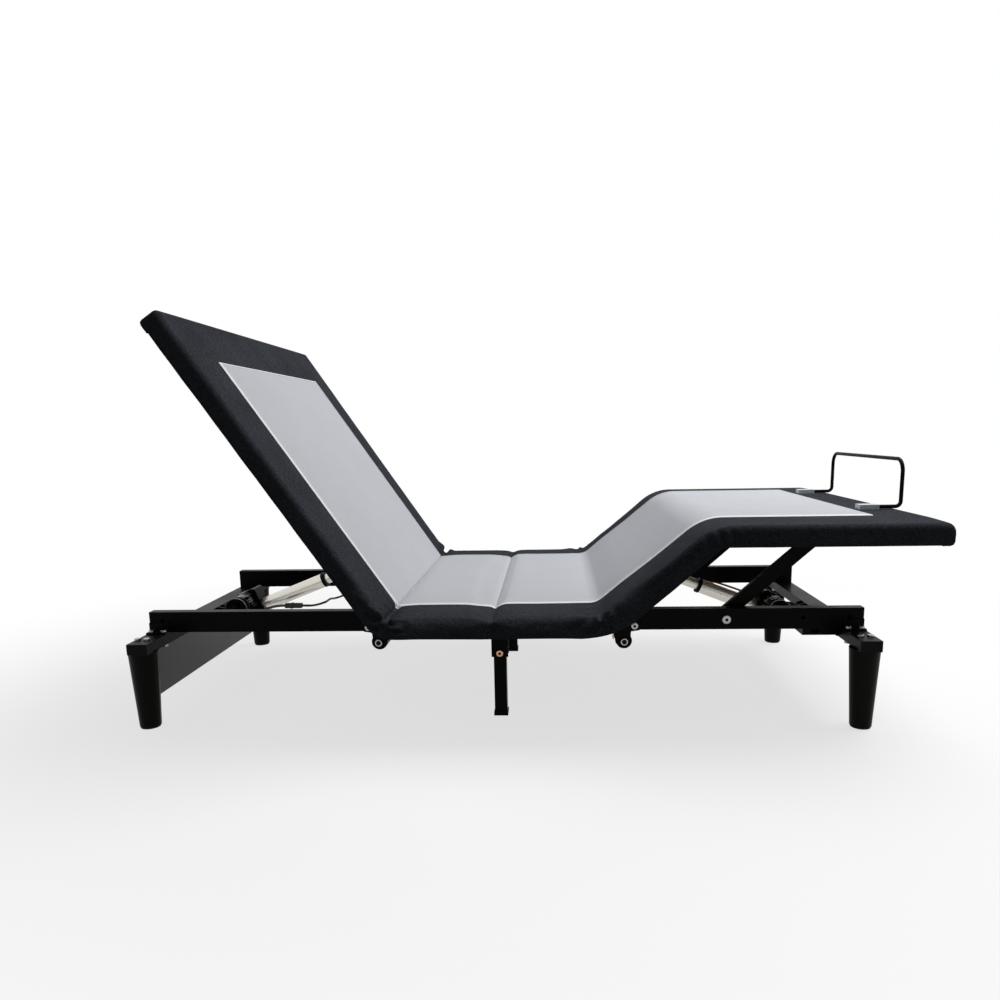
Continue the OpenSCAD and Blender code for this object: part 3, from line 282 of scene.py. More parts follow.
def rounded_path(corners, radii, counts):
    """Points along corners with rounded turns: counts holds a straight's points and the next turn's."""
    turns = [None]
    for corner in range(1, len(corners) - 1):
        here = corners[corner]
        before, after = corners[corner - 1] - here, corners[corner + 1] - here
        lengths = np.linalg.norm(before), np.linalg.norm(after)
        if radii[corner] == 0 or min(lengths) < 1e-6:
            turns.append((here, here, None, 0))
            continue
        before, after = before / lengths[0], after / lengths[1]
        bend = math.acos(max(-1, min(1, float(before @ after))))
        reach = radii[corner] / math.tan(bend / 2)
        inward = (before + after) / np.linalg.norm(before + after)
        middle = here + inward * radii[corner] / math.sin(bend / 2)
        turns.append((here + before * reach, here + after * reach, middle, radii[corner]))
    points = [corners[0]]
    start = corners[0]
    even_share = 0.15  # the rest of the spacing is closer at both ends of a straight
    for corner in range(1, len(corners)):
        straight, turn = counts[corner - 1]
        last = corner == len(corners) - 1
        stop = corners[-1] if last else turns[corner][0]
        for k in range(1, straight + 1):
            t = k / straight
            t = even_share * t + (1 - even_share) * (0.5 - 0.5 * math.cos(math.pi * t))
            points.append(start + (stop - start) * t)
        if last:
            break
        first, second, middle, radius = turns[corner]
        for k in range(1, turn + 1):
            t = k / turn
            if middle is None:
                points.append(first)
                continue
            a, b = first - middle, second - middle
            swing = math.acos(max(-1, min(1, float(a @ b) / radius**2)))
            swept = math.sin((1 - t) * swing) * a + math.sin(t * swing) * b
            points.append(middle + swept / math.sin(swing))
        start = second
    return np.array(points)


# the cloth bridges the foam at the thigh hinge and meets the section's own line at the knee
valley_top = np.array([seam_x + 0.232, back_pivot[1] + top_h + 0.0020])
knee_top = crease(knee, thigh_half, -1, top_h)
cut_top = valley_top + (knee_top - valley_top) * thigh_cut / thigh_len
foot_low_h = low_h - 0.004
head_return, foot_return = on_back(head_s - end_return, low_h), on_calf(foot_s - end_return, foot_low_h)
top_corners = [
    head_return, on_back(head_s, low_h), on_back(head_s, top_h), on_back(head_s - panel_margin, top_h),
    crease(back_pivot, back_half, 1, top_h), on_seat(seam_x, top_h), valley_top,
    cut_top, knee_top, on_calf(foot_s - panel_margin, top_h),
    on_calf(foot_s, top_h), on_calf(foot_s, foot_low_h), foot_return,
]
low_corners = [
    head_return, head_return, head_return, on_back(head_s - panel_margin, low_h),
    crease(back_pivot, back_half, 1, low_h), on_seat(seam_x, low_h),
    crease(thigh_pivot, thigh_half, -1, low_h), on_thigh(thigh_cut, foot_low_h),
    crease(knee, thigh_half, -1, foot_low_h),
    on_calf(foot_s - panel_margin, foot_low_h),
    foot_return, foot_return, foot_return,
]
top_radii = [0, 0.006, 0.010, 0, 0.004, 0, 0.045, 0, 0.125, 0, 0.020, 0.010, 0]
low_radii = [0, 0, 0, 0, 0.050, 0, 0.185, 0, 0.020, 0, 0, 0, 0]
counts = [
    (3, 2), (5, 6), (14, 0), (100, 8), (56, 0), (50, 16), (18, 0), (34, 22), (44, 0), (14, 6), (5, 2), (3, 0),
]
top_line = rounded_path(top_corners, top_radii, counts)
low_line = rounded_path(low_corners, low_radii, counts)
station_of, total = [0], 0
for straight, turn in counts:
    total += straight
    station_of.append((total, total + turn))
    total += turn
crease_station = sum(station_of[4]) // 2
seam_station = station_of[5][0]
valley_station = sum(station_of[6]) // 2
cut_station = station_of[7][0]
knee_station = sum(station_of[8]) // 2
run = np.concatenate([[0], np.cumsum(np.linalg.norm(np.diff(top_line, axis=0), axis=1))])
lift = top_line - low_line
thickness = np.linalg.norm(lift, axis=1)
outward = lift / np.maximum(thickness, 1e-6)[:, None]

edge_r, hem_r = 0.013, 0.006
welt_insets = (0, 0.0017, 0.0033, 0.0047, 0.0060)
welt_rises = (0, 0.0016, 0.0026, 0.0011)


def quarter_turn(middle_y, middle_h, radius, angles):
    """Places of the outline on an arc: [y, height, how far it faces sideways, how far up]."""
    turns = [math.radians(angle) for angle in angles]
    return [(middle_y + radius * math.cos(a), middle_h + radius * math.sin(a), math.cos(a), math.sin(a))
            for a in turns]


# one half of the outline across the bed
outline = [(y, low_h, 0, -1) for y in (return_y, 0.458, 0.467)]
outline += quarter_turn(half_width - hem_r, low_h + hem_r, hem_r, [-90 + 22.5 * k for k in range(5)])
outline += [(half_width, h, 1, 0) for h in np.linspace(low_h + hem_r, top_h - edge_r, 9)[1:-1]]
outline += quarter_turn(half_width - edge_r, top_h - edge_r, edge_r, [90 * k / 7 for k in range(8)])
outline += [(y, top_h, 0, 1) for y in np.linspace(half_width - edge_r, panel_y + 0.0007, 19)[1:]]
outline += [(panel_y - inset, top_h, 0, 1) for inset in welt_insets]
outline += [(y, top_h, 0, 1) for y in np.linspace(panel_y - welt_insets[-1], 0, 24)[1:]]
outline = np.array(outline)
outline = np.vstack([outline * [-1, 1, -1, 1], outline[-2::-1]])
across = np.concatenate([[0], np.cumsum(np.linalg.norm(np.diff(outline[:, :2], axis=0), axis=1))])
side_y = outline[:, 0]
in_panel = np.abs(side_y) < panel_y - 0.0002


def bump(distance, width):
    return np.exp(-(distance / width) ** 2)


def ridge(x, z, start, stop, width, height):
    """A soft fold along a line in the plane of the deck's side, fading at both ends."""
    start, stop = np.array(start), np.array(stop)
    along = stop - start
    length = np.linalg.norm(along)
    t = ((x - start[0]) * along[0] + (z - start[1]) * along[1]) / length**2
    off = np.abs((x - start[0]) * along[1] - (z - start[1]) * along[0]) / length
    taper = np.clip(1 - np.abs(2 * t - 1) ** 3, 0, 1)
    return height * taper * bump(off, width)


# folds in the side of the deck: [start, stop, half width, height], x from the back pivot and z from the floor
side_folds = [
    ((0.022, 0.292), (-0.016, 0.322), 0.0050, 0.0070), ((0.016, 0.284), (-0.026, 0.304), 0.0045, -0.0060),
    ((0.012, 0.276), (-0.032, 0.284), 0.0050, 0.0060), ((0.008, 0.268), (-0.020, 0.262), 0.0040, -0.0045),
    ((0.022, 0.276), (0.060, 0.268), 0.0045, 0.0065), ((0.018, 0.266), (0.062, 0.2625), 0.0030, -0.0062),
    ((0.026, 0.285), (0.070, 0.284), 0.0045, -0.0040), ((0.014, 0.257), (0.074, 0.255), 0.0050, 0.0050),
    ((0.030, 0.291), (0.084, 0.292), 0.0050, 0.0035), ((-0.020, 0.330), (-0.052, 0.352), 0.0060, 0.0035),
    ((0.468, 0.318), (0.491, 0.280), 0.0045, -0.0065), ((0.456, 0.312), (0.478, 0.276), 0.0050, 0.0062),
    ((0.476, 0.304), (0.434, 0.270), 0.0045, -0.0050), ((0.484, 0.296), (0.446, 0.262), 0.0050, 0.0062),
    ((0.497, 0.276), (0.440, 0.256), 0.0040, -0.0045), ((0.484, 0.322), (0.506, 0.288), 0.0050, 0.0050),
    ((0.500, 0.322), (0.518, 0.292), 0.0045, -0.0032), ((0.516, 0.330), (0.530, 0.302), 0.0050, 0.0026),
    ((0.708, 0.474), (0.721, 0.441), 0.005, 0.0040), ((0.722, 0.477), (0.733, 0.442), 0.004, -0.0035),
    ((0.735, 0.477), (0.745, 0.441), 0.005, 0.0038), ((0.750, 0.476), (0.757, 0.442), 0.004, -0.0030),
    ((0.690, 0.470), (0.704, 0.436), 0.004, -0.0030), ((0.766, 0.474), (0.770, 0.444), 0.005, 0.0022),
    ((0.560, 0.352), (0.700, 0.462), 0.008, 0.0018), ((0.600, 0.372), (0.716, 0.448), 0.006, -0.0014),
]


def gathered(x, z, middle, reach, pleats, height):
    """Small pleats that run to a point where the cloth is tucked in."""
    away = np.hypot(x - middle[0], z - middle[1])
    turn = np.arctan2(z - middle[1], x - middle[0])
    tuck_depth, start_angle = 0.006, 0.7
    ring = height * np.sin(pleats * turn + start_angle) * bump(away - reach * 0.5, reach * 0.42)
    return ring - tuck_depth * bump(away, reach * 0.28)


def sewn_in(distance, half):
    """How far cloth is pulled in beside a seam, 1 at the seam."""
    return np.exp(-np.abs(distance) / half)


# where the cloth is tucked in: middle, reach, number of pleats and their height
crease_gather = ((0.0205, 0.2840), 0.026, 6, 0.0042)
valley_gather = ((0.4860, 0.2900), 0.022, 5, 0.0026)
fold_depth, side_give, top_give = 0.0048, 0.0050, 0.0072
pleat_pitch, roll_off = 0.043, 0.0025
end_zone, thin_share = 0.10, 0.1
stations, columns = len(top_line), len(outline)
skin = np.zeros((stations, columns, 3))
fraction = (outline[:, 1] - low_h) / (top_h - low_h)
sideways, faces_up = outline[:, 2], outline[:, 3]
from_crease, from_seam = run - run[crease_station], run - run[seam_station]
from_valley, from_knee = run - run[valley_station], run - run[knee_station]
panel_start, panel_stop = run[station_of[3][0]], run[station_of[9][0]]
for i in range(stations):
    flat = low_line[i][None, :] + fraction[:, None] * lift[i][None, :]
    seam_pull = 0.0062 * sewn_in(from_seam[i], 0.0028) + 0.0046 * bump(from_seam[i], 0.013)
    border_pull = 0.0095 * sewn_in(from_crease[i], 0.0045)
    panel_pull = 0.0030 * sewn_in(from_crease[i], 0.0016)
    pull = seam_pull + np.where(in_panel, panel_pull, border_pull)
    swell = -pull * np.maximum(np.abs(sideways), np.maximum(faces_up, 0))
    # panel stands a little proud of the border, with a welt round it
    inside = np.minimum(panel_y - np.abs(side_y), min(run[i] - panel_start, panel_stop - run[i]))
    swell += np.interp(inside, (0, welt_insets[1], *welt_insets[3:]), welt_rises) * in_panel
    # soft rolls along the top edge beside the folds, and slack cloth across the seat
    edge = bump(np.abs(side_y) - 0.476, 0.012) * np.maximum(faces_up, 0)
    roll_height = 0.0070 * bump(from_crease[i] - 0.014, 0.010) + 0.0015 * bump(from_crease[i] + 0.026, 0.012)
    roll_height += 0.0036 * bump(from_valley[i] + 0.040, 0.016) + 0.0012 * bump(from_knee[i] + 0.050, 0.03)
    swell += edge * roll_height
    quilt = 0.0016 * bump(from_seam[i] - 0.045, 0.028) + 0.0012 * bump(from_seam[i] + 0.040, 0.028)
    swell += quilt * np.maximum(faces_up, 0) * np.cos(np.clip(side_y / half_width, -1, 1) * math.pi / 2)
    # the sides are never quite straight
    swell += 0.0010 * np.abs(sideways) * np.sin(run[i] * 47 + 1.3) * np.sin(run[i] * 19)
    x, z = flat[:, 0] - back_pivot[0], flat[:, 1]
    fold = gathered(x, z, *crease_gather) + gathered(x, z, *valley_gather)
    for start, stop, width, height in side_folds:
        fold += ridge(x, z, start, stop, width, height)
    swell += np.maximum(fold, -fold_depth) * np.clip(np.abs(sideways) * 1.6, 0, 1)
    # puckers in the border where it turns the corner of the crease, and a smaller set at the thigh hinge
    border = np.clip((np.abs(side_y) - panel_y) / 0.02, 0, 1) * np.maximum(faces_up, 0)
    pleats = np.sin((np.abs(side_y) - panel_y) * 2 * math.pi / pleat_pitch + 30 * from_crease[i])
    pucker = 0.0026 * bump(from_crease[i] - 0.016, 0.010) + 0.0022 * bump(from_crease[i] + 0.018, 0.012)
    swell += border * pleats * (pucker + 0.0016 * bump(from_valley[i] + 0.012, 0.020))
    # the foam gives way only as far as the wood under it, and not at all where the cloth turns round an end
    swell = np.maximum(swell, -np.where(np.abs(sideways) > 0.2, side_give, top_give))
    swell *= min(thickness[i] / 0.012, 1)
    from_end = min(run[i], run[-1] - run[i])
    swell *= np.clip(from_end / end_zone + fraction * (fraction > 0.3), 0, 1)
    # the border rolls down a little towards the edge, but not at the head end
    roll = roll_off * np.clip((np.abs(side_y) - 0.375) / 0.105, 0, 1) ** 1.5 * np.clip(fraction, 0, 1) ** 2
    roll *= np.clip(run[i] / 0.5, 0, 1)
    up = outward[i][None, :] * (faces_up * swell - roll * min(thickness[i] / 0.03, 1))[:, None]
    skin[i, :, 0] = flat[:, 0] + up[:, 0]
    skin[i, :, 2] = flat[:, 1] + up[:, 1]
    skin[i, :, 1] = side_y + sideways * swell


# the station at which each piece of cloth starts
first_station = {}


def cloth_piece(name, first, last):
    """The cloth from one station to another, with its border, panel and welt, and a weave map in metres."""
    points = skin[first:last + 1].reshape(-1, 3)
    mesh = bpy.data.meshes.new(name)
    faces = []
    for i in range(last - first):
        for j in range(columns - 1):
            a = i * columns + j
            faces.append((a, a + columns, a + columns + 1, a + 1))
    mesh.from_pydata(points.tolist(), [], faces)
    weave = mesh.uv_layers.new(name="weave")
    loops = np.array([v for face in faces for v in face])
    uv = np.stack([run[first + loops // columns], across[loops % columns]], axis=1)
    weave.data.foreach_set("uv", uv.astype(np.float32).ravel())
    slots = []
    for i in range(last - first):
        middle = (run[first + i] + run[first + i + 1]) / 2
        for j in range(columns - 1):
            outer_y = max(abs(side_y[j]), abs(side_y[j + 1]))
            inset = min(panel_y - outer_y, middle - panel_start, panel_stop - middle)
            slots.append(0 if inset < -0.0001 else 2 if inset < welt_insets[3] - 0.0001 else 1)
    mesh.polygons.foreach_set("material_index", slots)
    mesh.polygons.foreach_set("use_smooth", [True] * len(faces))
    # a cut edge keeps the face's own shading, so that neighbouring pieces meet without a line
    for edge in mesh.edges:
        rows = [v // columns for v in edge.vertices]
        if rows[0] == rows[1] and rows[0] in (0, last - first):
            edge.use_edge_sharp = True
    piece = add_object(name, mesh)
    first_station[name] = first
    return piece


def new_group(name, inputs, outputs):
    """A shader node group: inputs are [label, kind, starting value or None]; returns it and its two ends."""
    group = bpy.data.node_groups.new(name, "ShaderNodeTree")
    for label, kind, value in inputs:
        socket = group.interface.new_socket(name=label, in_out="INPUT", socket_type="NodeSocket" + kind)
        if value is not None:
            socket.default_value = value
    for label, kind in outputs:
        group.interface.new_socket(name=label, in_out="OUTPUT", socket_type="NodeSocket" + kind)
    return group, group.nodes.new("NodeGroupInput"), group.nodes.new("NodeGroupOutput")


def spread(tree, value, amount):
    """How far a value lies from one half, scaled."""
    return times(tree, math_node(tree, "SUBTRACT", value, 0.5), amount)


def woven_group():
    """Heathered plain weave: threads both ways with slubs and flecks, from a map in metres."""
    group, given, result = new_group("woven_cloth", [
        ("Weave map", "Vector", None), ("Dark thread", "Color", None), ("Light thread", "Color", None),
        ("Threads per metre", "Float", 700), ("Heather", "Float", 0.5),
    ], [("Colour", "Color"), ("Height", "Float"), ("Roughness", "Float")])
    weave_map = given.outputs["Weave map"]
    parts = group.nodes.new("ShaderNodeSeparateXYZ")
    join(group, weave_map, parts.inputs[0])
    turns = times(group, given.outputs["Threads per metre"], math.pi)
    warp = math_node(group, "SINE", times(group, parts.outputs["X"], turns))
    weft = math_node(group, "SINE", times(group, parts.outputs["Y"], turns))
    over = times(group, warp, weft)
    slub_along = noise(group, weave_map, 1.0, 2.0, (90, 620, 1))
    slub_across = noise(group, weave_map, 1.0, 2.0, (560, 80, 1))
    flecks = noise(group, weave_map, 900, 1.0)
    cloudy = noise(group, weave_map, 9.0, 3.0)
    speckle = noise(group, weave_map, 420, 2.0)
    mixed = plus(group, times(group, slub_along, 0.5), times(group, slub_across, 0.5))
    for detail, amount in ((flecks, 0.7), (cloudy, 0.25), (speckle, 0.45)):
        mixed = plus(group, mixed, spread(group, detail, amount))
    mixed = plus(group, mixed, times(group, over, 0.10))
    contrast = times(group, given.outputs["Heather"], 4.0)
    tone = plus(group, spread(group, mixed, contrast), 0.5, clamp=True)
    colour = blend_colours(group, tone, given.outputs["Dark thread"], given.outputs["Light thread"])
    join(group, colour, result.inputs["Colour"])
    join(group, plus(group, over, times(group, mixed, 1.5)), result.inputs["Height"])
    join(group, plus(group, 0.86, times(group, flecks, 0.14)), result.inputs["Roughness"])
    return group


woven_cloth = woven_group()


def cloth_material(name, dark, light, threads, heather):
    """Matt woven cloth with its threads in relief."""
    material, tree = new_material(name)
    weave = tree.nodes.new("ShaderNodeGroup")
    weave.node_tree = woven_cloth
    weave_map = tree.nodes.new("ShaderNodeUVMap")
    weave_map.uv_map = "weave"
    join(tree, weave_map.outputs[0], weave.inputs["Weave map"])
    weave.inputs["Dark thread"].default_value = (*dark, 1)
    weave.inputs["Light thread"].default_value = (*light, 1)
    weave.inputs["Threads per metre"].default_value = threads
    weave.inputs["Heather"].default_value = heather
    shader = tree.nodes.new("ShaderNodeBsdfPrincipled")
    shader.inputs["Specular IOR Level"].default_value = 0.03
    relief = tree.nodes.new("ShaderNodeBump")
    relief.inputs["Strength"].default_value = 0.35
    relief.inputs["Distance"].default_value = 0.0006
    join(tree, weave.outputs["Height"], relief.inputs["Height"])
    join(tree, weave.outputs["Colour"], shader.inputs["Base Color"])
    join(tree, weave.outputs["Roughness"], shader.inputs["Roughness"])
    join(tree, relief.outputs[0], shader.inputs["Normal"])
    join(tree, shader.outputs[0], tree.nodes["output"].inputs["Surface"])
    return material


charcoal_cloth = cloth_material("charcoal_cloth", (0.006, 0.007, 0.0095), (0.052, 0.056, 0.066), 620, 0.60)
panel_cloth = cloth_material("panel_cloth", (0.425, 0.435, 0.468), (0.555, 0.569, 0.602), 900, 0.30)
panel_hem = cloth_material("panel_hem", (0.86, 0.87, 0.88), (0.94, 0.95, 0.96), 900, 0.30)


def pull_tight(piece, cap=0.003):
    """Lets the cloth settle over its foam under a little pressure, held at its hem, within a cap."""
    rest = np.array([v.co for v in piece.data.vertices])
    held = piece.vertex_groups.new(name="held")
    hem_width, hem_share = 0.018, 0.02
    fixed = [v.index for v in piece.data.vertices
             if abs(v.co.y) < return_y + hem_width and fraction[v.index % columns] < hem_share]
    edge = list(range(columns)) + list(range(len(rest) - columns, len(rest)))
    held.add(list(set(fixed + edge)), 1.0, "REPLACE")
    settle = piece.modifiers.new("settle", "CLOTH")
    settle.settings.vertex_group_mass = "held"
    settle.settings.quality = 4
    settle.settings.mass = 0.25
    settle.settings.tension_stiffness = 25
    settle.settings.compression_stiffness = 12
    settle.settings.shear_stiffness = 8
    settle.settings.bending_stiffness = 0.6
    settle.settings.use_pressure = True
    settle.settings.uniform_pressure_force = 1.6
    settle.settings.effector_weights.gravity = 0
    settle.collision_settings.use_collision = False
    steps = 14
    settle.point_cache.frame_start, settle.point_cache.frame_end = 1, steps
    for step in range(1, steps + 1):
        bpy.context.scene.frame_set(step)
    shaped = piece.evaluated_get(bpy.context.evaluated_depsgraph_get()).to_mesh()
    moved = np.array([v.co for v in shaped.vertices]) - rest
    piece.modifiers.remove(settle)
    piece.vertex_groups.remove(held)
    bpy.context.scene.frame_set(1)
    size = np.linalg.norm(moved, axis=1)
    moved *= (cap * np.tanh(size / cap) / np.maximum(size, 1e-9))[:, None]
    row, fade_rows = np.arange(len(rest)) // columns, 10
    from_ends = np.minimum(row, row.max() - row)
    moved *= np.clip(from_ends / fade_rows, 0, 1)[:, None] ** 2
    piece.data.vertices.foreach_set("co", (rest + moved).astype(np.float32).ravel())
    piece.data.update()


def finish_cloth(piece, *covers, fill):
    """Gives the cloth its thickness, less at both ends, and hides the CAD covers it stands for."""
    pull_tight(piece)
    for material in (charcoal_cloth, panel_cloth, panel_hem):
        piece.data.materials.append(material)
    weld = piece.modifiers.new("weld", "WELD")
    weld.merge_threshold = 0.00002
    body = piece.modifiers.new("thickness", "SOLIDIFY")
    body.thickness = 0.0025
    body.offset = -1
    thin = piece.vertex_groups.new(name="thin_ends")
    first = first_station[piece.name]
    for row in range(len(piece.data.vertices) // columns):
        from_end = min(run[first + row], run[-1] - run[first + row])
        weight = min(max(from_end / end_zone, thin_share), 1.0)
        thin.add(list(range(row * columns, (row + 1) * columns)), weight, "REPLACE")
    body.vertex_group = "thin_ends"
    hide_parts(*covers)


back_pad = cloth_piece("back_pad", 0, crease_station)
seat_rear_pad = cloth_piece("seat_rear_pad", crease_station, seam_station)
seat_front_pad = cloth_piece("seat_front_pad", seam_station, cut_station)
calf_pad = cloth_piece("calf_pad", cut_station, stations - 1)
finish_cloth(back_pad, "back_cover", fill=0.8)
finish_cloth(seat_rear_pad, "seat_rear_cover", fill=0.8)
finish_cloth(seat_front_pad, "seat_front_cover", fill=0.8)
finish_cloth(calf_pad, "thigh_cover", "calf_cover", fill=0.8)


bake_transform(back_pad)
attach(seat_rear_pad, "base")
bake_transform(seat_front_pad)
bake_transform(calf_pad)

# ---- steel frame
# Welded and bolted steel tube in black powder coat: rails, beams, angles, brackets, section frames,
# links and lift tubes. Its edges are paler, partly where the coat is thin and worn and partly as a painted
# highlight, and dust lies in its grain.


def coated_group():
    """Finish with rounded edges, paler from wear and a painted highlight, a fine grain, soft blotches and
    dust on what faces up.
    """
    group, given, result = new_group("coated_edges", [
        ("Colour", "Color", None), ("Edge colour", "Color", None), ("Edge amount", "Float", 0.5),
        ("Grain scale", "Float", 600), ("Roughness", "Float", 0.4), ("Dust", "Float", 0.1),
    ], [("Colour", "Color"), ("Roughness", "Float"), ("Height", "Float"), ("Normal", "Vector")])
    place = group.nodes.new("ShaderNodeTexCoord").outputs["Object"]
    bevel = group.nodes.new("ShaderNodeBevel")
    bevel.samples = 4
    bevel.inputs["Radius"].default_value = 0.0016
    facing = group.nodes.new("ShaderNodeNewGeometry")
    turned = group.nodes.new("ShaderNodeVectorMath")
    turned.operation = "DOT_PRODUCT"
    join(group, bevel.outputs[0], turned.inputs[0])
    join(group, facing.outputs["Normal"], turned.inputs[1])
    # edges are paler where the bevel normal turns: partly thin, worn coat and partly a painted highlight
    # along every edge
    edge = ramp(group, math_node(group, "SUBTRACT", 1.0, turned.outputs["Value"]), 0.01, 0.22)
    wear_and_highlight_patches = ramp(group, noise(group, place, 45, 4.0), 0.30, 0.62)
    edge = times(group, edge, times(group, wear_and_highlight_patches, given.outputs["Edge amount"]))
    grain = noise(group, place, 1.0, 2.0)
    join(group, given.outputs["Grain scale"], grain.node.inputs["Scale"])
    blotch = noise(group, place, 11, 4.0)
    parts = group.nodes.new("ShaderNodeSeparateXYZ")
    join(group, facing.outputs["Normal"], parts.inputs[0])
    lies_flat = ramp(group, parts.outputs["Z"], 0.4, 0.95)
    dust = times(group, times(group, lies_flat, ramp(group, blotch, 0.35, 0.75)), given.outputs["Dust"])
    pale = times(group, math_node(group, "SUBTRACT", blotch, 0.3), 0.5, clamp=True)
    toned = blend_colours(group, pale, given.outputs["Colour"], given.outputs["Edge colour"])
    toned = blend_colours(group, 0.22, given.outputs["Colour"], toned)
    colour = blend_colours(group, edge, toned, given.outputs["Edge colour"])
    colour = blend_colours(group, dust, colour, (0.32, 0.31, 0.29))
    join(group, colour, result.inputs["Colour"])
    rough = plus(group, given.outputs["Roughness"], spread(group, blotch, 0.22))
    rough = plus(group, rough, times(group, dust, 0.5), clamp=True)
    join(group, rough, result.inputs["Roughness"])
    join(group, grain, result.inputs["Height"])
    join(group, bevel.outputs[0], result.inputs["Normal"])
    return group


coated_edges = coated_group()


def coated_material(name, colour, edge, edge_wear_and_highlight, grain, roughness, dust=0.1, metallic=0.0, specular=0.5):
    """A hard finish from the shared group: paint, plating, moulded plastic or rubber."""
    material, tree = new_material(name)
    finish = tree.nodes.new("ShaderNodeGroup")
    finish.node_tree = coated_edges
    finish.inputs["Colour"].default_value = (*colour, 1)
    # the paler edge colour is partly wear and partly a painted highlight, and it also tints the blotches
    finish.inputs["Edge colour"].default_value = (*edge, 1)
    finish.inputs["Edge amount"].default_value = edge_wear_and_highlight
    finish.inputs["Grain scale"].default_value = grain
    finish.inputs["Roughness"].default_value = roughness
    finish.inputs["Dust"].default_value = dust
    shader = tree.nodes.new("ShaderNodeBsdfPrincipled")
    shader.inputs["Metallic"].default_value = metallic
    shader.inputs["Specular IOR Level"].default_value = specular
    bumps = tree.nodes.new("ShaderNodeBump")
    bumps.inputs["Strength"].default_value = 0.15
    bumps.inputs["Distance"].default_value = 0.0004
    join(tree, finish.outputs["Height"], bumps.inputs["Height"])
    join(tree, finish.outputs["Normal"], bumps.inputs["Normal"])
    join(tree, finish.outputs["Colour"], shader.inputs["Base Color"])
    join(tree, finish.outputs["Roughness"], shader.inputs["Roughness"])
    join(tree, bumps.outputs[0], shader.inputs["Normal"])
    join(tree, shader.outputs[0], tree.nodes["output"].inputs["Surface"])
    return material


def dress(material, *names):
    """Gives CAD nodes a material."""
    for name in names:
        mesh = frame["nodes"][name].data
        mesh.materials.clear()
        mesh.materials.append(material)


powder_coat = coated_material("powder_coat", (0.0018, 0.0017, 0.0017), (0.040, 0.039, 0.038), 0.6, 900, 0.34,
                              dust=0.012, specular=0.035)
sheet_coat = coated_material("sheet_coat", (0.010, 0.0105, 0.0090), (0.050, 0.050, 0.045), 0.5, 700, 0.30,
                             dust=0.02, specular=0.22)
dress(sheet_coat, "apron_plate")
dress(powder_coat, "near_rails", "far_rails", "rail_splices", "rail_flanges", "cross_beams", "pivot_brackets",
      "centre_leg_brackets", "centre_leg_near", "centre_leg_far", "back_frame", "thigh_frame", "calf_frame",
      "calf_links", "back_lift", "thigh_lift", "actuator_brackets", "retainer_bar")

# ---- bolts and pins
# Zinc-plated bolts, ring nuts and pins at the pivots, and the bare steel strips that the rollers run on.
# Large turned heads hold the brackets and links to the rails, and small pressed stops stand beside them.

zinc_plate = coated_material("zinc_plate", (0.33, 0.33, 0.32), (0.75, 0.75, 0.73), 0.8, 400, 0.28, dust=0.1,
                             metallic=1.0)
dress(zinc_plate, "frame_bolts", "pivot_bolts", "knee_bolts", "link_pins", "back_rod_pin", "thigh_rod_pin",
      "back_wear_strips", "thigh_wear_strips")


def from_seat_seam(x, y, z):
    """A place given in millimetres from the seat seam, the centreline and the floor."""
    return Vector((seam_x + x / 1000, y / 1000, z / 1000))


def turned(name, profile, spots, body, slot):
    """Round heads turned across the bed, one a spot: profile is [radius, height, material index] in mm."""
    turns = 32
    mesh = bpy.data.meshes.new(name)
    points, faces, kinds = [], [], []
    for x, y, z in spots:
        side = 1 if y > 0 else -1
        start = len(points)
        for radius, height, _ in profile:
            for k in range(turns):
                a = 2 * math.pi * k / turns
                ring_x, ring_z = x + radius * math.cos(a), z + radius * math.sin(a)
                points.append(from_seat_seam(ring_x, y + side * height, ring_z))
        for ring in range(len(profile) - 1):
            for k in range(turns):
                a, b = start + ring * turns + k, start + ring * turns + (k + 1) % turns
                faces.append((a, b, b + turns, a + turns) if side < 0 else (a, a + turns, b + turns, b))
                kinds.append(profile[ring + 1][2])
    mesh.from_pydata(points, [], faces)
    mesh.polygons.foreach_set("material_index", kinds)
    piece = add_object(name, mesh)
    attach(piece, body)
    return piece


# near black in the hollow of each bolt head and in the tube's holes: painted shade standing in for their
# depth
dark_recess = coated_material("dark_recess", (0.004, 0.004, 0.004), (0.02, 0.02, 0.02), 0.3, 900, 0.6,
                              specular=0.1)
copper_wash = coated_material("copper_wash", (0.50, 0.30, 0.20), (0.8, 0.5, 0.35), 0.6, 500, 0.3,
                              metallic=1.0)
# how far each face lies from the centreline, in millimetres
bracket_face, rail_face, leg_face = 291.0, 286.0, 291.3
lift_heads = turned("lift_bolt_heads", [
    (10.3, 0, 0), (10.3, 4.8, 0), (8.7, 4.9, 0), (8.5, 6.0, 1), (8.0, 6.6, 1), (6.2, 6.6, 1), (5.7, 6.1, 1),
    (5.5, 4.9, 2), (0.01, 4.9, 2)],
    [(x, side * bracket_face, 185) for x in (-286.5, 300) for side in (-1, 1)], "base", "zinc")
for material in (powder_coat, zinc_plate, dark_recess):
    lift_heads.data.materials.append(material)
screw_heads = turned("bracket_screw_heads", [
    (8.2, 0, 0), (8.2, 3.4, 0), (7.4, 4.6, 0), (5.4, 5.4, 0), (3.2, 5.6, 0), (3.0, 4.8, 1), (0.01, 4.8, 1)],
    [(x, side * bracket_face, 223) for x in (-310, 324) for side in (-1, 1)], "base", "zinc")
link_heads = turned("link_bolt_heads", [
    (10.2, 0, 0), (10.2, 3.6, 0), (9.2, 4.9, 0), (6.4, 5.8, 0), (3.8, 6.0, 0), (3.6, 4.8, 1), (0.01, 4.8, 1)],
    [(539, side * rail_face, 236) for side in (-1, 1)], "base", "zinc")
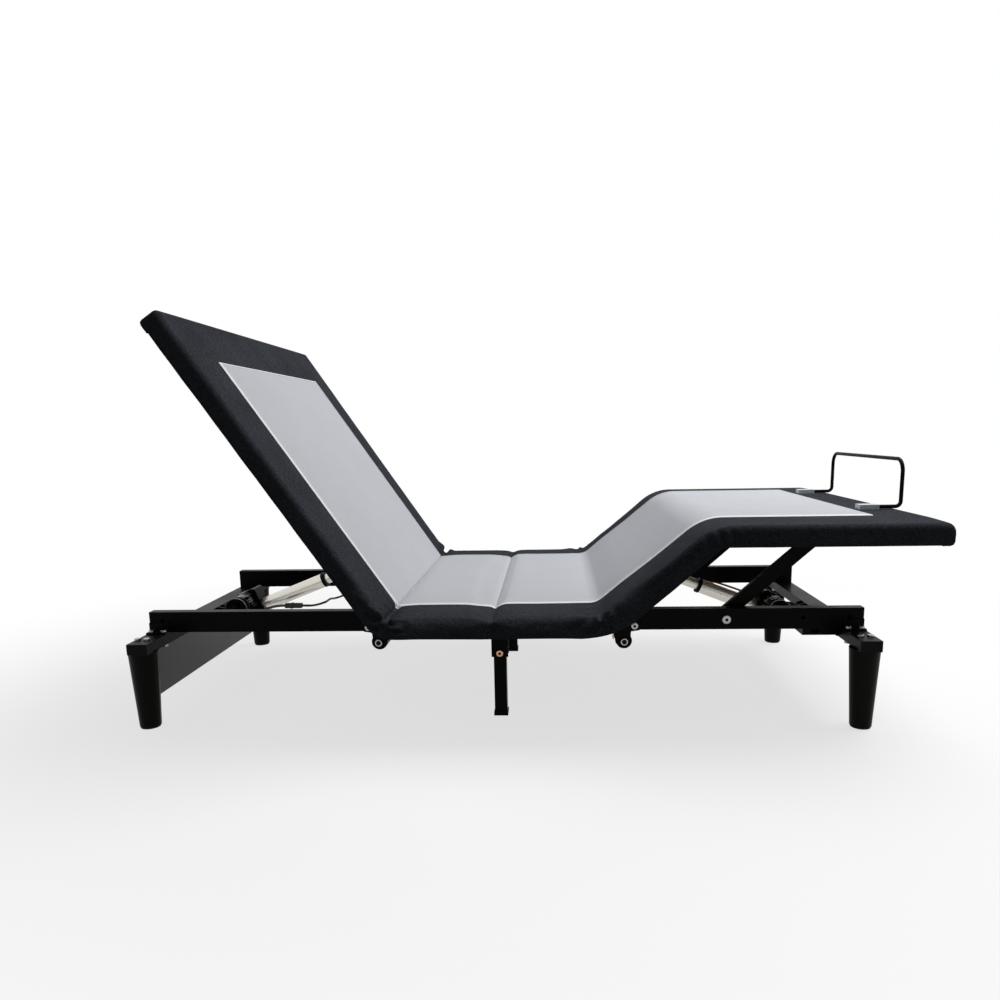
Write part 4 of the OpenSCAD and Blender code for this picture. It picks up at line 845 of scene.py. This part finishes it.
pin_heads = turned("leg_pin_heads", [
    (8.3, 0, 0), (8.3, 5.3, 0), (7.4, 6.2, 0), (5.0, 6.7, 0), (3.4, 6.7, 0), (3.1, 5.9, 1), (0.01, 5.9, 1)],
    [(4.1, side * leg_face, 158) for side in (-1, 1)], "base", "zinc")
for heads in (screw_heads, link_heads):
    heads.data.materials.append(zinc_plate)
    heads.data.materials.append(dark_recess)
pin_heads.data.materials.append(copper_wash)
pin_heads.data.materials.append(dark_recess)


def prism(name, outline, y0, y1, material, body):
    """A plate with its faces across the bed, cut to an outline in millimetres, with its edges broken."""
    made = bmesh.new()
    near = [made.verts.new(from_seat_seam(x, y0, z)) for x, z in outline]
    face = made.faces.new(near)
    grown = bmesh.ops.extrude_face_region(made, geom=[face])
    for vert in [v for v in grown["geom"] if isinstance(v, bmesh.types.BMVert)]:
        vert.co.y = y1 / 1000
    bmesh.ops.recalc_face_normals(made, faces=made.faces)
    broken_edge = 0.0005
    bmesh.ops.bevel(made, geom=made.edges[:], offset=broken_edge, segments=2, affect="EDGES")
    # a bevel leaves its faces in no fixed order, so they are sorted, each from its lowest corner on
    made.verts.index_update()
    faces = []
    for bevelled in made.faces:
        corners = [vert.index for vert in bevelled.verts]
        lowest = corners.index(min(corners))
        faces.append(corners[lowest:] + corners[:lowest])
    mesh = bpy.data.meshes.new(name)
    mesh.from_pydata([vert.co for vert in made.verts], [], sorted(faces))
    made.free()
    mesh.materials.append(material)
    piece = add_object(name, mesh)
    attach(piece, body)
    return piece


stop_outer, stop_inner = 285.4, 263.0
lift_stop = [(271.6, 211.6), (276.6, 211.6), (278.6, 200.0), (276.0, 189.0), (272.8, 190.0), (274.6, 200.0)]
head_stop = [(-253.6 - (x - lift_stop[0][0]) * 0.9, z) for x, z in lift_stop]
for side, label in ((-1, "near"), (1, "far")):
    prism("lift_stop_" + label, lift_stop, side * stop_outer, side * stop_inner, copper_wash, "base")
    prism("head_stop_" + label, head_stop, side * stop_outer, side * stop_inner, zinc_plate, "base")

# ---- moulded parts
# Black moulded plastic: end caps, legs, control box, cable clips and the collars of the actuator tubes, with
# glossier gearboxes. The tape along the rails and the glides under the legs are soft rubber.

moulded = coated_material("moulded_plastic", (0.0040, 0.0040, 0.0042), (0.035, 0.035, 0.036), 0.5, 1200, 0.42,
                          dust=0.03, specular=0.06)
dress(moulded, "end_caps", "control_box", "cable_clips", "back_tube_collar", "thigh_tube_collar")
leg_plastic = coated_material("leg_plastic", (0.0048, 0.0042, 0.0030), (0.030, 0.028, 0.025), 0.4, 1500, 0.34,
                              dust=0.02, specular=0.055)
dress(leg_plastic, "corner_legs")
gearbox_black = coated_material("gearbox_black", (0.0050, 0.0032, 0.0028), (0.05, 0.048, 0.045), 0.5, 500,
                                0.16, dust=0.02, specular=0.03)
dress(gearbox_black, "back_drive", "thigh_drive")
soft_rubber = coated_material("soft_rubber", (0.012, 0.012, 0.012), (0.05, 0.05, 0.05), 0.3, 1800, 0.75,
                              dust=0.2, specular=0.25)
dress(soft_rubber, "rail_tape", "leg_glides")

# ---- actuators
# Satin aluminium tubes in two stages, one with two small drilled holes whose dark floors are painted shade,
# and pale nylon rollers on the lift arms. Each motor stands across its gearbox in a black steel can with
# rolled bands; a bright ring near its end and bright strips along it are painted highlights.

# from an actuator's tail pin to its motor, along the tube and square to it, and where the can starts
motor_place, motor_start = (47.0, 25.0), -27
# the can's profile [radius, distance along, material index] in mm; the bright zinc band near its end is a
# painted highlight where light turns round the end of the can
motor_can = [
    (27.1, 0.2, 0), (28.4, 1.0, 0), (28.4, 8.0, 0), (27.6, 9.0, 0), (27.6, 62.0, 0), (28.6, 63.0, 0),
    (28.6, 69.0, 0), (27.6, 70.0, 0), (27.6, 82.0, 0), (28.5, 83.0, 1), (28.5, 85.0, 1), (28.2, 88.6, 0),
    (26.2, 90.6, 0), (15.0, 91.4, 0), (14.0, 90.2, 0), (9.6, 90.2, 0), (9.0, 92.6, 0), (5.0, 93.4, 0),
    (0.01, 93.4, 0),
]


def tail_pin(joint):
    """An actuator's tail pin in millimetres: how far from the seat seam and above the floor."""
    pin = joints[joint]["pos_m"]
    return (pin[0] - seam_x) * 1000, pin[2] * 1000


def motor(name, joint, ahead, angle, highlight_strips):
    """A motor can over the drive's own, and bright strips on it as painted highlights: [angle round the can,
    start, stop along it].
    """
    tail_x, tail_z = tail_pin(joint)
    along, up = motor_place
    x = tail_x + ahead * (along * math.cos(angle) - up * math.sin(angle))
    z = tail_z + along * math.sin(angle) + up * math.cos(angle)
    body = joint.replace("_swing", "")
    can = turned(name + "_motor_can", motor_can, [(x, motor_start, z)], body, "plastic_black")
    can.data.materials.append(gearbox_black)
    can.data.materials.append(zinc_plate)
    can.data.polygons.foreach_set("use_smooth", [True] * len(can.data.polygons))
    for k, (middle, start, stop) in enumerate(highlight_strips):
        outline = []
        for radius, turn in ((27.4, -2.2), (28.2, -1.4), (28.2, 1.4), (27.4, 2.2)):
            a = math.radians(middle + turn)
            outline.append((x + radius * math.cos(a), z + radius * math.sin(a)))
        strip_name = f"{name}_motor_highlight_strip_{k}"
        prism(strip_name, outline, motor_start - stop, motor_start - start, zinc_plate, body)


# how steeply each actuator lies at rest
back_lie, thigh_lie = math.radians(21.543), math.radians(21.232)
# bright zinc strips on each can are painted highlights: [angle round the can, start, stop along it]
back_highlight_strips = [(118, 12, 60), (64, 14, 58), (38, 30, 60), (26, 30, 60)]
thigh_highlight_strips = [(122, 14, 60), (100, 14, 58), (66, 14, 58), (150, 20, 60)]
motor("back", "back_actuator_swing", 1, back_lie, back_highlight_strips)
motor("thigh", "thigh_actuator_swing", -1, thigh_lie, thigh_highlight_strips)

# the holes in the thigh actuator's tube: distance from the tail pin and radius
tube_holes, tube_face = [(225.5, 2.4), (178.6, 1.5)], -19.0
tail_x, tail_z = tail_pin("thigh_actuator_swing")
for k, (along, radius) in enumerate(tube_holes):
    # each hole is a shallow dish whose near-black floor is painted shade
    rim = [(radius + 0.9, -0.7, 0), (radius, 0.25, 0), (radius - 0.4, -0.2, 0), (0.01, -0.2, 0)]
    spot = (tail_x - along * math.cos(thigh_lie), tube_face, tail_z + along * math.sin(thigh_lie))
    hole = turned(f"tube_hole_{k}", rim, [spot], "thigh_actuator", "actuator_grey")
    hole.data.materials.append(dark_recess)

satin_tube = coated_material("satin_tube", (0.88, 0.85, 0.77), (0.92, 0.90, 0.85), 0.6, 700, 0.34, dust=0.03,
                             metallic=0.75, specular=0.4)
dress(satin_tube, "back_outer_tube", "back_push_rod", "thigh_outer_tube", "thigh_push_rod")
nylon = coated_material("nylon", (0.70, 0.70, 0.66), (0.8, 0.8, 0.77), 0.4, 900, 0.5, dust=0.15)
dress(nylon, "back_lift_rollers", "thigh_lift_rollers")

# ---- leads
# The motors' black leads in soft sleeves, the back one with its plug, and the red harness, which leaves the
# back actuator's plug, is clipped along the far rail and ends in the control box at the foot.

black_sleeve = coated_material("black_sleeve", (0.011, 0.011, 0.012), (0.03, 0.03, 0.03), 0.3, 1500, 0.5)
dress(black_sleeve, "back_motor_lead", "lead_connector")
red_sleeve = coated_material("red_sleeve", (0.24, 0.032, 0.022), (0.50, 0.10, 0.08), 0.3, 1500, 0.42,
                             specular=0.2)


def lead(name, route, radius, material):
    """A round lead along a route in millimetres, one smooth tube."""
    curve = bpy.data.curves.new(name, "CURVE")
    curve.dimensions = "3D"
    curve.bevel_depth = radius / 1000
    curve.bevel_resolution = 4
    curve.resolution_u = 6
    curve.use_fill_caps = True
    spline = curve.splines.new("NURBS")
    spline.points.add(len(route) - 1)
    for point, place in zip(spline.points, route):
        point.co = (*from_seat_seam(*place), 1)
    spline.use_endpoint_u = True
    spline.order_u = 4
    drawn = add_object(name + "_line", curve)
    mesh = bpy.data.meshes.new_from_object(drawn.evaluated_get(bpy.context.evaluated_depsgraph_get()))
    bpy.data.objects.remove(drawn)
    mesh.name = name
    mesh.materials.clear()
    mesh.materials.append(material)
    mesh.polygons.foreach_set("use_smooth", [True] * len(mesh.polygons))
    piece = add_object(name, mesh)
    return piece


harness_route = [
    (-556, -32, 218), (-544, -32, 217), (-531, -26, 216), (-520, -4, 214), (-512, 24, 213.5), (-509, 40, 213),
    (-509, 50, 213), (-509, 62, 213), (-511, 85, 211), (-512, 112, 205), (-508, 150, 199), (-480, 205, 205),
    (-440, 246, 215), (-400, 257, 218), (-380, 257, 218), (-250, 257, 218), (-100, 257, 218), (100, 257, 218),
    (350, 257, 218), (600, 257, 218), (620, 257, 218), (645, 255, 210), (682, 247, 198), (715, 222, 189),
    (748, 170, 177), (780, 90, 167), (795, 0, 165), (788, -70, 176), (768, -104, 192), (766, -116, 195),
    (766, -125, 195),
]
harness = lead("harness", harness_route, 3.0, red_sleeve)
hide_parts("wiring_harness")
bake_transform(harness)

thigh_lead_route = [
    (742.6, 18, 205.7), (751, 18, 202.4), (764, 12, 207), (777, -12, 211), (787, -50, 208), (790, -90, 205),
    (788, -112, 204), (788, -120, 204),
]
thigh_lead = lead("thigh_lead", thigh_lead_route, 3.5, black_sleeve)
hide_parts("thigh_motor_lead")
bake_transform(thigh_lead)

# ---- retainer sockets
# The bent bar that holds a mattress at the foot slides into pale moulded sleeves. They are screwed to the
# foot section.

pale_sleeve = coated_material("pale_sleeve", (0.52, 0.56, 0.60), (0.8, 0.82, 0.84), 0.6, 900, 0.25, dust=0.05)
dress(pale_sleeve, "retainer_sockets")

# ---- boards
# Plywood boards carry the foam of every section. They lie on softwood laths and are bare underneath, with
# their grain along the bed.


def timber_material(name, early, late, dirt_amount):
    """Bare timber with grain along the bed, growth rings and slight dirt."""
    material, tree = new_material(name)
    place = tree.nodes.new("ShaderNodeTexCoord").outputs["Object"]
    rings = noise(tree, place, 1.0, 6.0, (5, 70, 70))
    fibres = noise(tree, place, 1.0, 3.0, (40, 900, 900))
    patches = noise(tree, place, 4.0, 2.0)
    figure = plus(tree, times(tree, rings, 0.7), times(tree, fibres, 0.3))
    colour = blend_colours(tree, ramp(tree, figure, 0.38, 0.62), early, late)
    dirt = times(tree, ramp(tree, patches, 0.4, 0.7), dirt_amount)
    colour = blend_colours(tree, dirt, colour, (0.30, 0.19, 0.10))
    shader = tree.nodes.new("ShaderNodeBsdfPrincipled")
    shader.inputs["Specular IOR Level"].default_value = 0.25
    join(tree, colour, shader.inputs["Base Color"])
    join(tree, plus(tree, 0.6, times(tree, fibres, 0.3)), shader.inputs["Roughness"])
    relief = tree.nodes.new("ShaderNodeBump")
    relief.inputs["Strength"].default_value = 0.2
    relief.inputs["Distance"].default_value = 0.0005
    join(tree, figure, relief.inputs["Height"])
    join(tree, relief.outputs[0], shader.inputs["Normal"])
    join(tree, shader.outputs[0], tree.nodes["output"].inputs["Surface"])
    return material


plywood = timber_material("plywood", (0.52, 0.36, 0.20), (0.40, 0.25, 0.13), 0.35)
dress(plywood, "seat_boards", "back_board", "thigh_board", "calf_board")
softwood = timber_material("softwood", (0.60, 0.43, 0.25), (0.46, 0.30, 0.16), 0.25)
dress(softwood, "seat_laths", "back_laths", "thigh_laths", "calf_laths")
